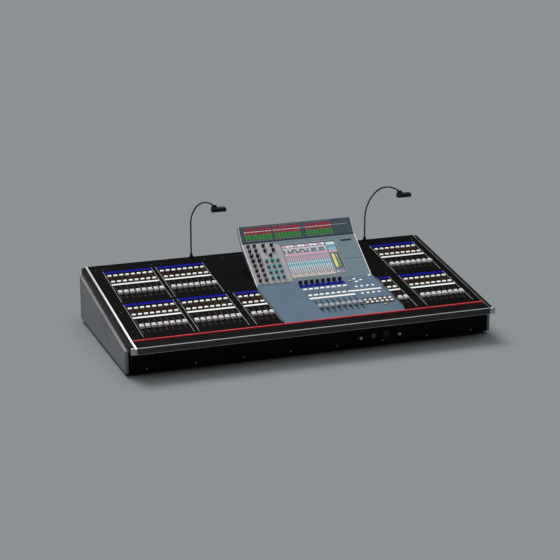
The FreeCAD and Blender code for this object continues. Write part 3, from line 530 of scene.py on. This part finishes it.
def fader_cap():
    """Mesh of one cap: a waisted block with a saddle, ribs and a centre line, on its blade."""
    bm = bmesh.new()
    long, base, tall = 0.023, 0.0015, 0.011
    outline = [(-0.5, 0.0), (-0.5, 0.62), (-0.47, 0.93), (-0.40, 1.0), (-0.28, 0.98), (-0.17, 0.86),
               (-0.07, 0.76), (-0.05, 0.75), (0.05, 0.75), (0.07, 0.76), (0.17, 0.86), (0.28, 0.98),
               (0.40, 1.0), (0.47, 0.93), (0.5, 0.62), (0.5, 0.0)]
    line = outline.index((-0.05, 0.75))
    sides = []
    for x in (-0.5, -0.46, 0.46, 0.5):
        drop = 0.0005 if abs(x) == 0.5 else 0.0
        sides.append([bm.verts.new((x * CAP_WIDE, u * long, base + v * tall - (drop if v > 0 else 0)))
                      for u, v in outline])
    for i, face in enumerate(close(bm, sides)):
        face.material_index = 1 if i % len(outline) == line else 0
    for side in (-1, 1):
        for k in range(3):
            slab(bm, Matrix.Identity(4), 0, side * (0.0038 + 0.0018 * k),
                 base + tall * (0.80 + 0.09 * k), CAP_WIDE * 0.9, 0.0005, 0.0004)
    slab(bm, Matrix.Identity(4), 0, 0, -0.009, 0.0014, 0.008, 0.0106, 2)
    return finished("fader_cap", bm)


cap_grey = moulded("white_moulded_abs", "#f2f2f0", "#e2e2df", (0.35, 0.5), 0.9, 0.15)
cap_line = moulded("black_painted_line", "#1c1c1e", "#242426", (0.4, 0.5))
cap_silver = moulded("silver_painted_abs", "#c3c9cd", "#aeb4b8", (0.3, 0.42), 0.9, 0.1)
blade_steel = anodised("bright_steel_blade", "#a8a8aa", "#8a8a8c")
cap = fader_cap()
for name in BANKS:
    columns, *_, lift = bank(name)
    bm = bmesh.new()
    for x in columns:
        stamp(bm, cap, on_surface(x, FADER_ROW + lift))
    top = cap_silver if name == "faders_centre" else cap_grey
    piece(name + "_caps", bm, name, [top, cap_line, blade_steel], [name], 40)

# --- Encoders ------------------------------------------------------------------------------
# Black ABS knobs with fine grip ribs, a slightly dished face and a white pointer line.


def turned(bm, place, outline, count=32, shade=0):
    """Solid of revolution about the local Z axis over (radius, height) points."""
    turns = [2 * math.pi * i / count for i in range(count)]
    rings = [[bm.verts.new(place @ Vector((r * math.cos(a), r * math.sin(a), z))) for a in turns]
             for r, z in outline]
    close(bm, rings, shade)


def ribbed_knob(radius, tall, gap, ribs):
    """Mesh of one knob on its shaft: ribbed side, chamfered rim, dished face, pointer."""
    bm = bmesh.new()
    rings = []
    steps = [(1.0, gap), (1.0, gap + 0.0008), (0.97, gap + 0.0012), (0.93, gap + tall * 0.82),
             (0.86, gap + tall * 0.95), (0.76, gap + tall), (0.60, gap + tall),
             (0.50, gap + tall - 0.0006)]
    for k, (grow, z) in enumerate(steps):
        ring = []
        for i in range(ribs * 4):
            a = 2 * math.pi * i / (ribs * 4)
            r = radius * grow - (0.00045 if 1 < k < 5 and i % 4 < 2 else 0)
            ring.append(bm.verts.new((r * math.cos(a), r * math.sin(a), z)))
        rings.append(ring)
    close(bm, rings)
    turned(bm, Matrix.Identity(4), [(0.003, -0.008), (0.003, gap)], 20)
    slab(bm, Matrix.Identity(4), 0, radius * 0.5, gap + tall - 0.0004, radius * 0.28, radius * 0.62,
         0.0006, 1)
    return finished("ribbed_knob", bm)


knob_black = moulded("black_moulded_knob", "#0e0e10", "#1a1a1c", (0.3, 0.45), 0.6, 0.2)
pointer_white = moulded("white_pad_printed_pointer", "#f4f4f2", "#e6e6e2", (0.4, 0.5))
encoder = ribbed_knob(0.008, 0.015, 0.001, 18)
for i, x in enumerate(bank("faders_centre")[0], 1):
    label = "encoder_knob_%d" % i
    bm = bmesh.new()
    stamp(bm, encoder, on_surface(x, ENCODER_ROW))
    piece(label + "_cap", bm, label, [knob_black, pointer_white], [label])

# --- Display housing -----------------------------------------------------------------------
# A slim housing of folded aluminium. The panels are enamelled blue-grey, the two side bands
# are bare and bright, and thin dark gaps show where the panels meet.

housing_enamel = enamel("blue_grey_housing_enamel", "#70858f", "#7a8e99", 0.45, 0.3)
dress(housing_enamel, "display_front_panel")
meter_enamel = enamel("slate_blue_panel_enamel", "#4a5c68", "#526470", 0.45, 0.3)
dress(meter_enamel, "meter_panel")

cheek_low, cheek_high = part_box("display_left_cheek")
right_low, right_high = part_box("display_right_cheek")
SCREEN_TILT = math.radians(33.1)
METER_TILT = math.radians(51.2)
SCREEN_LONG = 0.230
HINGE = Vector((0, cheek_low.y, cheek_low.z))
SCREEN = Matrix.Translation(HINGE) @ Matrix.Rotation(SCREEN_TILT, 4, "X")
KINK = HINGE + Vector((0, SCREEN_LONG * math.cos(SCREEN_TILT), SCREEN_LONG * math.sin(SCREEN_TILT)))
METER = Matrix.Translation(KINK) @ Matrix.Rotation(METER_TILT, 4, "X")
edge_bare = anodised("bare_satin_aluminium_band", "#d8dadc", "#bcbec0", (900, 30, 30), (0.4, 0.55))
dress(edge_bare, "display_left_cheek", "display_right_cheek")
bm = bmesh.new()
for x in ((cheek_low.x + cheek_high.x) / 2, (right_low.x + right_high.x) / 2):
    slab(bm, SCREEN, x, 0.1155, 0, 0.0042, 0.229, 0.0007, 0, 0.0002)
    slab(bm, METER, x, 0.0385, 0, 0.0042, 0.077, 0.0007, 0, 0.0002)
piece("display_edge_beads", bm, "console", [edge_bare], (), 0)
gap_black = moulded("black_rubber_gap_seal", "#0a0b0d", "#121316", (0.6, 0.75))
PANEL_WIDE = right_low.x - cheek_high.x
MIDDLE_X = (right_low.x + cheek_high.x) / 2
bm = bmesh.new()
slab(bm, METER, MIDDLE_X, 0.0022, 0, PANEL_WIDE - 0.001, 0.0034, 0.0008, 0, 0.0002)
for y in (0.030, 0.048, 0.066):
    for x, out in ((cheek_low.x, -1), (right_high.x, 1)):
        place = METER @ Matrix.Translation((x, y, -0.0075)) @ Matrix.Rotation(out * math.pi / 2, 4, "Y")
        turned(bm, place, [(0.0026, -0.0002), (0.0026, 0.0008), (0.0018, 0.0012)], 20)
slab(bm, SCREEN, 0.3385, 0.099, 0, 0.095, 0.0016, 0.0002, 0)
for y in (0.1965, 0.2035):
    slab(bm, SCREEN, 0.341, y, 0, 0.050, 0.0015, 0.0008, 0, 0.0002)
slab(bm, SCREEN, 0.341, 0.2, -0.0012, 0.0455, 0.0046, 0.0011, 0)
piece("display_gap_seals", bm, "console", [gap_black], (), 0)

# --- Knob plate and its knobs --------------------------------------------------------------
# A pinkish-grey enamelled plate with one clipped corner. The knobs are soft-touch ABS in
# plum, black, navy and teal, with white pointers that face up the panel.

plate_metal = moulded("pinkish_grey_enamelled_plate", "#b3b0b4", "#a8a5a9", (0.45, 0.55), 0.7, 0.12,
                      Specular_IOR_Level=0.3)
dress(plate_metal, "knob_plate")
shades = {
    "plum": moulded("plum_moulded_knob", "#2c1220", "#3a1a2b", (0.3, 0.45)),
    "black": moulded("black_soft_knob", "#0c0c0f", "#17171a", (0.3, 0.45)),
    "navy": moulded("navy_moulded_knob", "#10123a", "#191c4c", (0.3, 0.45)),
    "teal": moulded("teal_moulded_knob", "#1c8c90", "#2ba3a6", (0.3, 0.45)),
}
order = list(shades)
KNOB_GAP = 0.0032
small = ribbed_knob(0.0072, 0.011, KNOB_GAP, 14)
large = ribbed_knob(0.0084, 0.012, KNOB_GAP, 16)
row_shades = ["plum", "plum", "black", "black", "navy", "navy", "black", "plum"]
spots = [(x, 0.026 + 0.0264 * i, row_shades[i]) for x in (-0.090, -0.063) for i in range(8)]
spots += [(x, y, "black") for x, y in ((-0.025, 0.209), (0.011, 0.209), (-0.025, 0.181),
                                       (0.011, 0.181), (-0.007, 0.155))]
spots += [(-0.033 + 0.024 * i, 0.034 + 0.0305 * j, "teal") for i in range(3) for j in range(4)]
bm = bmesh.new()
for x, y, shade in spots:
    body = (large if shade == "navy" else small).copy()
    for face in body.polygons:
        face.material_index = len(order) if face.material_index == 1 else order.index(shade)
    stamp(bm, body, SCREEN @ Matrix.Translation((x, y, 0)))
caps = [shades[k] for k in order] + [pointer_white]
piece("panel_knob_caps", bm, "panel_knobs", caps, ["panel_knobs"])
bm = bmesh.new()
for x, y, shade in spots:
    ring = 0.0110 if shade == "navy" else 0.0097
    for i in range(11):
        a = math.radians(-225 + 27 * i)
        place = SCREEN @ Matrix.Translation((x, y, 0.0015)) @ Matrix.Rotation(a, 4, "Z")
        slab(bm, place, ring, 0, 0, 0.0014, 0.0005, 0.0001)
piece("knob_scales", bm, "console", [print_dark], (), 0)

# --- Touch screen --------------------------------------------------------------------------
# A flat glass screen in a thin pinkish-grey moulded frame. It shows a plain mixer page:
# buttons, level readouts, a fader for each channel and a master meter, with no lettering.

screen_low, screen_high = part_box("touch_screen")
SCREEN_X = (screen_low.x + screen_high.x) / 2
SCREEN_WIDE = screen_high.x - screen_low.x
SCREEN_HIGH = 0.184
SCREEN_Y = 0.112
glass_dark = moulded("dark_display_glass", "#1c2330", "#222a38", (0.08, 0.14), 5.0, 0.02)
dress(glass_dark, "touch_screen")
tints = ["#5b6874", "#b9b2b6", "#e2dcde", "#8f7f8c", "#c98fa6", "#58b4c4", "#a9d4dc", "#6f8c9c",
         "#cfc65e", "#33383f", "#a68a74", "#7d8791", "#6fa070"]
SLATE, STONE, WHITE, MAUVE, PINK, CYAN, ICE, STEEL, YELLOW, COAL, TAN, ASH, GREEN = range(13)
screen_shades = [lit("lit_screen_tint_%02d" % i, code, 0.35, code, 900.0)
                 for i, code in enumerate(tints)]
random.seed(7)
bm = bmesh.new()
left = SCREEN_X - SCREEN_WIDE / 2
low_edge = SCREEN_Y - SCREEN_HIGH / 2
GLASS = -0.0008
LAYER = 0.00008


def tile(u, v, wide, high, tint, layer):
    """Flat lit patch of the page, placed by fractions of the glass."""
    slab(bm, SCREEN, left + SCREEN_WIDE * u, low_edge + SCREEN_HIGH * v, GLASS,
         SCREEN_WIDE * wide, SCREEN_HIGH * high, LAYER * layer, tint)


tile(0.5, 0.5, 0.985, 0.98, SLATE, 1)
tile(0.42, 0.47, 0.80, 0.86, ASH, 2)
for i in range(11):
    u = 0.055 + 0.071 * i
    tile(u, 0.945, 0.060, 0.050, WHITE if i % 3 else PINK, 3)
    tile(u, 0.875, 0.060, 0.040, STONE, 3)
    tile(u - 0.012, 0.820, 0.026, 0.036, COAL, 3)
    tile(u + 0.018, 0.820, 0.026, 0.036, WHITE if random.random() < 0.4 else COAL, 3)
    tile(u - 0.012, 0.765, 0.026, 0.040, COAL, 3)
    tile(u + 0.018, 0.765, 0.026, 0.040, COAL if i % 2 else STONE, 3)
CHANNELS = 20
for i in range(CHANNELS):
    u = 0.033 + 0.0395 * i
    tile(u, 0.695, 0.030, 0.060, PINK, 3)
    tile(u, 0.640, 0.030, 0.030, MAUVE, 3)
    for under, over, tint in ((0.16, 0.28, STONE), (0.28, 0.36, ICE), (0.36, 0.50, CYAN),
                              (0.50, 0.61, PINK)):
        tile(u - 0.003, (under + over) / 2, 0.016, over - under, tint, 3)
    tile(u + 0.011, 0.385, 0.004, 0.440, COAL, 4)
    tile(u - 0.003, 0.44 + 0.008 * (i % 3), 0.018, 0.022, WHITE, 5)
    tile(u, 0.115, 0.030, 0.040, TAN if i % 3 else STONE, 3)
    tile(u, 0.060, 0.030, 0.045, STONE if i % 4 else YELLOW, 3)
for v, high, tint in ((0.93, 0.075, ICE), (0.845, 0.060, STEEL), (0.775, 0.055, CYAN),
                      (0.700, 0.060, PINK), (0.420, 0.440, COAL)):
    tile(0.905, v, 0.15, high, tint, 3)
tile(0.875, 0.420, 0.050, 0.400, YELLOW, 4)
tile(0.935, 0.420, 0.035, 0.400, SLATE, 4)
for k in range(9):
    tile(0.935, 0.245 + 0.042 * k, 0.028, 0.018, GREEN if k < 6 else YELLOW, 5)
for k in range(3):
    tile(0.855 + 0.05 * k, 0.090, 0.040, 0.060, MAUVE if k else STONE, 3)
piece("screen_page", bm, "console", screen_shades, (), 0)
bm = bmesh.new()
for dx, dy, wide, high in ((0, 0.5, 1.0, 0), (0, -0.5, 1.0, 0), (0.5, 0, 0, 1.0), (-0.5, 0, 0, 1.0)):
    slab(bm, SCREEN, SCREEN_X + dx * (SCREEN_WIDE + 0.002), SCREEN_Y + dy * (SCREEN_HIGH + 0.002), 0,
         (SCREEN_WIDE + 0.0036) * wide or 0.0022, (SCREEN_HIGH + 0.0036) * high or 0.0022, 0.0006, 0,
         0.0002)
frame_grey = moulded("pinkish_grey_moulded_frame", "#b4aeb2", "#a8a2a6", (0.4, 0.5))
piece("screen_bezel", bm, "console", [frame_grey], (), 0)

# --- Level meters --------------------------------------------------------------------------
# Three groups of eight columns behind windows in the slate panel. Each column is a stack of
# lit blocks, green below and red above, with one white block at the reference line.

led_green = lit("green_lit_led_block", "#2c8a30", 0.45, "#227428")
led_red = lit("red_lit_led_block", "#9c1436", 0.5, "#7c1029")
led_white = lit("white_lit_led_block", "#f6ecec", 0.9)
led_dark = moulded("dark_led_backing", "#10160f", "#151b14", (0.3, 0.4))
METER_SHADES = [led_green, led_red, led_white, led_dark]
LOW_BLOCK, HIGH_BLOCK, MARK_BLOCK, BACKING = range(4)
METER_GROUPS = (-0.0315, 0.0975, 0.2385)
COLUMN_PITCH = 0.015
BLOCK_PITCH = 0.003
bm = bmesh.new()
for middle in METER_GROUPS:
    for i in range(8):
        x = middle + COLUMN_PITCH * (i - 3.5)
        slab(bm, METER, x, 0.040, -0.003, 0.012, 0.054, 0.0014, BACKING)
        for k in range(18):
            shade = MARK_BLOCK if k == 12 else LOW_BLOCK if k < 8 else HIGH_BLOCK
            for side in (-1, 1):
                slab(bm, METER, x + side * 0.0030, 0.0145 + BLOCK_PITCH * k, -0.0016, 0.0054, 0.0024,
                     0.0013, shade, 0.0002)
piece("meter_led_columns", bm, "console", METER_SHADES, ["meter_lamp_blocks"], 0)
bm = bmesh.new()
slab(bm, METER, 0.140, 0.0505, 0, 0.456, 0.0021, INK)
for middle in METER_GROUPS:
    for y in (0.0095, 0.0715):
        slab(bm, METER, middle, y, 0, 0.118, 0.0007, INK)
piece("meter_print", bm, "console", [print_white], (), 0)

# --- Lamps ---------------------------------------------------------------------------------
# Flexible steel goosenecks in a black sleeve with fine turns, each in a knurled collar, with
# a black hood on a hinge pin and a warm lamp strip under a frosted cover.

sleeve_black = moulded("black_pvc_sleeve_on_steel", "#060607", "#0e0e0f", (0.4, 0.55), 0.5, 0.1,
                       Specular_IOR_Level=0.2)
hood_black = powder_coat("black_powder_coat_on_hood", "#121214", "#1c1c1e", 0.7, 0.3)
lamp_cover = lit("frosted_lamp_cover", "#e9e6dc", 0.35)
dress(hood_black, "left_lamp_hood", "right_lamp_hood")
# For each lamp: X of its socket, the straight length, and the radii of its two bends.
LAMPS = {"left": (-0.283, 0.143, 0.114, 0.060), "right": (0.500, 0.093, 0.181, 0.082)}
LAMP_PLAN = math.radians(-45)
BEND_ENDS = (45.0, 125.0)
SOCKET_DEEP = 0.008
NECK_RADIUS = 0.0032
SLEEVE_STEP = 0.0009


def neck_points(straight, radii):
    """Centre line of a gooseneck: up from its socket, then round two bends."""
    points = [(0.0, SOCKET_DEEP + (straight - SOCKET_DEEP) * k / 12) for k in range(13)]
    r, z = points[-1]
    start = 0.0
    for radius, stop in zip(radii, BEND_ENDS):
        for k in range(1, 25):
            a = math.radians(start + (stop - start) * k / 24)
            b = math.radians(start)
            points.append((r + radius * (math.cos(b) - math.cos(a)),
                           z + radius * (math.sin(a) - math.sin(b))))
        r, z = points[-1]
        start = stop
    return points


def gooseneck(bm, points, radius):
    """Ribbed tube along a centre line that lies in one upright plane."""
    fine = []
    for (r0, z0), (r1, z1) in zip(points, points[1:]):
        length = math.hypot(r1 - r0, z1 - z0)
        steps = max(2, round(length / SLEEVE_STEP))
        fine += [(r0 + (r1 - r0) * k / steps, z0 + (z1 - z0) * k / steps) for k in range(steps)]
    fine.append(points[-1])
    rings = []
    for k, (r, z) in enumerate(fine):
        r0, z0 = fine[max(0, k - 1)]
        r1, z1 = fine[min(len(fine) - 1, k + 1)]
        out = Vector((r1 - r0, 0, z1 - z0)).normalized()
        across = Vector((-out.z, 0, out.x))
        swell = radius * (1.0 if k % 3 else 0.9)
        ring = []
        for i in range(14):
            a = 2 * math.pi * i / 14
            spoke = math.cos(a) * across + math.sin(a) * Vector((0, 1, 0))
            ring.append(bm.verts.new(Vector((r, 0, z)) + swell * spoke))
        rings.append(ring)
    close(bm, rings)


ledge_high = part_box("rear_ledge")[1]
collar_steel = anodised("black_nickel_plated_collar", "#5a5b5e", "#3c3d40", (40, 40, 900))
for side, (x, straight, *radii) in LAMPS.items():
    foot = Matrix.Translation((x, ledge_high.y - 0.012, ledge_high.z + 0.004))
    points = neck_points(straight, radii)
    bm = bmesh.new()
    gooseneck(bm, points, NECK_RADIUS)
    bmesh.ops.transform(bm, matrix=foot @ Matrix.Rotation(LAMP_PLAN, 4, "Z"), verts=bm.verts)
    turned(bm, foot, [(0.0039, -0.006), (0.0039, 0.0004), (0.0065, 0.0004), (0.0065, 0.009),
                      (0.0052, 0.0124), (0.0033, 0.0124)], 32, 1)
    for i in range(24):
        a = 2 * math.pi * i / 24
        slab(bm, foot @ Matrix.Rotation(a, 4, "Z"), 0.0064, 0, 0.0012, 0.0008, 0.0008, 0.007, 1)
    reach, rise = points[-1]
    tip = foot @ Matrix.Translation((reach * math.cos(LAMP_PLAN), reach * math.sin(LAMP_PLAN), rise))
    turned(bm, tip @ Matrix.Rotation(math.pi / 2, 4, "Y"),
           [(0.0044, -0.007), (0.005, -0.0064), (0.005, 0.0064), (0.0044, 0.007)], 32, 0)
    neck = side + "_lamp_neck"
    piece(side + "_gooseneck", bm, neck, [sleeve_black, collar_steel], [neck], 50)
    hood = side + "_lamp_hood"
    hood_low, hood_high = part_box(hood)
    bm = bmesh.new()
    mid = (hood_low + hood_high) / 2
    slab(bm, Matrix.Identity(4), hood_low.x + 0.030, mid.y, hood_low.z + 0.0092, 0.052, 0.018, 0.0021)
    piece(side + "_lamp_cover", bm, hood, [lamp_cover], (), 0)
dress(collar_steel, "lamp_sockets")

# --- Front controls ------------------------------------------------------------------------
# Two turned aluminium knobs with straight knurls, a nickel jack bush and a round microphone
# socket whose shell is anodised purple.

FACING = Matrix.Rotation(math.pi / 2, 4, "X")
knob_metal = anodised("turned_aluminium_knob", "#cfd1d3", "#aeb0b3", (60, 60, 60), (0.22, 0.34))
metal_knob = ribbed_knob(0.008, 0.013, 0.001, 24)
for label in ("left_front_knob", "right_front_knob"):
    low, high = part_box(label)
    mid = (low + high) / 2
    bm = bmesh.new()
    stamp(bm, metal_knob, Matrix.Translation((mid.x, FRONT, mid.z)) @ FACING)
    piece(label + "_cap", bm, label, [knob_metal, cap_line], [label])
nickel = anodised("nickel_plated_bush", "#b5b2ab", "#8f8c86", (60, 60, 60), (0.2, 0.32))
purple_shell = moulded("purple_anodised_shell", "#4a2c66", "#5c3a7a", (0.25, 0.38), Metallic=0.6)
socket_black = moulded("black_glass_filled_nylon", "#0d0d0f", "#161618", (0.45, 0.6))
dress(socket_black, "front_sockets", "rear_sockets")
JACK = Matrix.Translation((0.251, FRONT, 0.050)) @ FACING
TALK = Matrix.Translation((0.305, FRONT, 0.053)) @ FACING
bm = bmesh.new()
for i in range(48):
    a = 2 * math.pi * i / 48
    slab(bm, JACK @ Matrix.Rotation(a, 4, "Z"), 0.0071, 0, 0.0016, 0.0022, 0.0010, 0.0012, 0)
    slab(bm, TALK @ Matrix.Rotation(a, 4, "Z"), 0.0118, 0, 0.0016, 0.0016, 0.0017, 0.0016, 1)
for i in range(3):
    a = math.radians(90 + 120 * i)
    slab(bm, TALK, 0.004 * math.cos(a), 0.004 * math.sin(a), 0.0012, 0.002, 0.002, 0.0006, 2, 0.0002)
piece("front_socket_rings", bm, "console", [nickel, purple_shell, gap_black], (), 0)

# --- Rear, feet, screws and the inside -----------------------------------------------------
# A gloss nylon rocker, zinc-plated screws, rubber feet, green laminate boards, black dipped
# fader tracks and a zinc-coated power supply.

rocker_black = moulded("black_gloss_nylon_rocker", "#0c0c0e", "#18181a", (0.2, 0.3))
dress(rocker_black, "power_rocker")
zinc = anodised("bright_zinc_plated_steel", "#a9acb2", "#83868c", (200, 200, 200), (0.25, 0.4))
dress(zinc, "case_screws")
bm = bmesh.new()
for x, rows in ((-0.703, (0.08, 0.25, 0.44, 0.66)), (-0.667, (0.665,)), (-0.466, (0.665, 0.345)),
                (-0.235, (0.665, 0.34)), (-0.160, (0.665,)), (0.455, (0.665, 0.345)),
                (0.487, (0.665, 0.08)), (0.706, (0.08, 0.25, 0.44, 0.66))):
    for y in rows:
        turned(bm, on_surface(x, y), [(0.0028, -0.0002), (0.0028, 0.0006), (0.0020, 0.0011)], 20)
piece("surface_screws", bm, "console", [collar_steel], (), 40)
track_black = powder_coat("black_dipped_steel_track", "#070708", "#0f0f10", 1.0, 0.2)
dress(track_black, "fader_tracks")
foot_rubber = moulded("black_moulded_rubber", "#161616", "#222222", (0.65, 0.8), 1.5, 0.3)
dress(foot_rubber, "rubber_feet")
laminate = moulded("green_glass_epoxy_laminate", "#123d24", "#1a5031", (0.3, 0.45))
dress(laminate, "circuit_boards")
supply_zinc = anodised("folded_zinc_coated_steel", "#9c9fa3", "#7c7f84", (30, 30, 30), (0.35, 0.5))
dress(supply_zinc, "power_supply")

# --- Stage ---------------------------------------------------------------------------------
# Plain grey paper floor under one very large overhead softbox, with dim surroundings and a
# soft key from behind that throws the shadow forward.


def aimed(name, data, direction):
    """New object in the scene that looks along a direction."""
    made = bpy.data.objects.new(name, data)
    bpy.context.scene.collection.objects.link(made)
    made.rotation_euler = direction.to_track_quat("-Z", "Y").to_euler()
    return made


bm = bmesh.new()
bm.faces.new([bm.verts.new((x, y, 0)) for x, y in ((-40, -40), (40, -40), (40, 60), (-40, 60))])
floor = bpy.data.objects.new("studio_floor", finished("studio_floor", bm))
bpy.context.scene.collection.objects.link(floor)
paper, tree, shader, where = blank("pale_paper_floor", Roughness=0.9, Specular_IOR_Level=0.1)
fibre = noise(tree, where, 30.0, 4.0)
feed(tree, shader, (ramp(tree, (fibre, "Fac"), [(0.3, "#85898b"), (0.7, "#878b8e")]), "Color"))
floor.data.materials.append(paper)

world = bpy.data.worlds.new("studio")
bpy.context.scene.world = world
world.use_nodes = True
sky = world.node_tree
around = node(sky, "ShaderNodeTexCoord")
height = node(sky, "ShaderNodeSeparateXYZ", {}, {"Vector": (around, "Generated")})
softbox = ramp(sky, (height, "Z"), [(0.62, "#303234"), (0.85, "#ffffff")])
sky.links.new(softbox.outputs["Color"], sky.nodes["Background"].inputs["Color"])
sky.nodes["Background"].inputs["Strength"].default_value = 1.15
key = bpy.data.lights.new("key_light", "SUN")
key.energy = 2.1
key.angle = math.radians(30)
aimed("key_light", key, Vector((0.22, -0.62, -1.0)))

view = bpy.context.scene.view_settings
view.view_transform = "Standard"
view.look = "None"

camera = bpy.data.cameras.new("camera")
camera.lens = 111.17
camera.sensor_width = 36.0
camera.clip_end = 200.0
AZIMUTH = math.radians(-19.74)
ELEVATION = math.radians(17.05)
DISTANCE = 7.063
TARGET = Vector((0.0022, 0.0705, 0.1901))
back = Vector((math.sin(AZIMUTH) * math.cos(ELEVATION), -math.cos(AZIMUTH) * math.cos(ELEVATION),
               math.sin(ELEVATION)))
holder = aimed("camera", camera, -back)
holder.location = TARGET + back * DISTANCE
bpy.context.scene.camera = holder
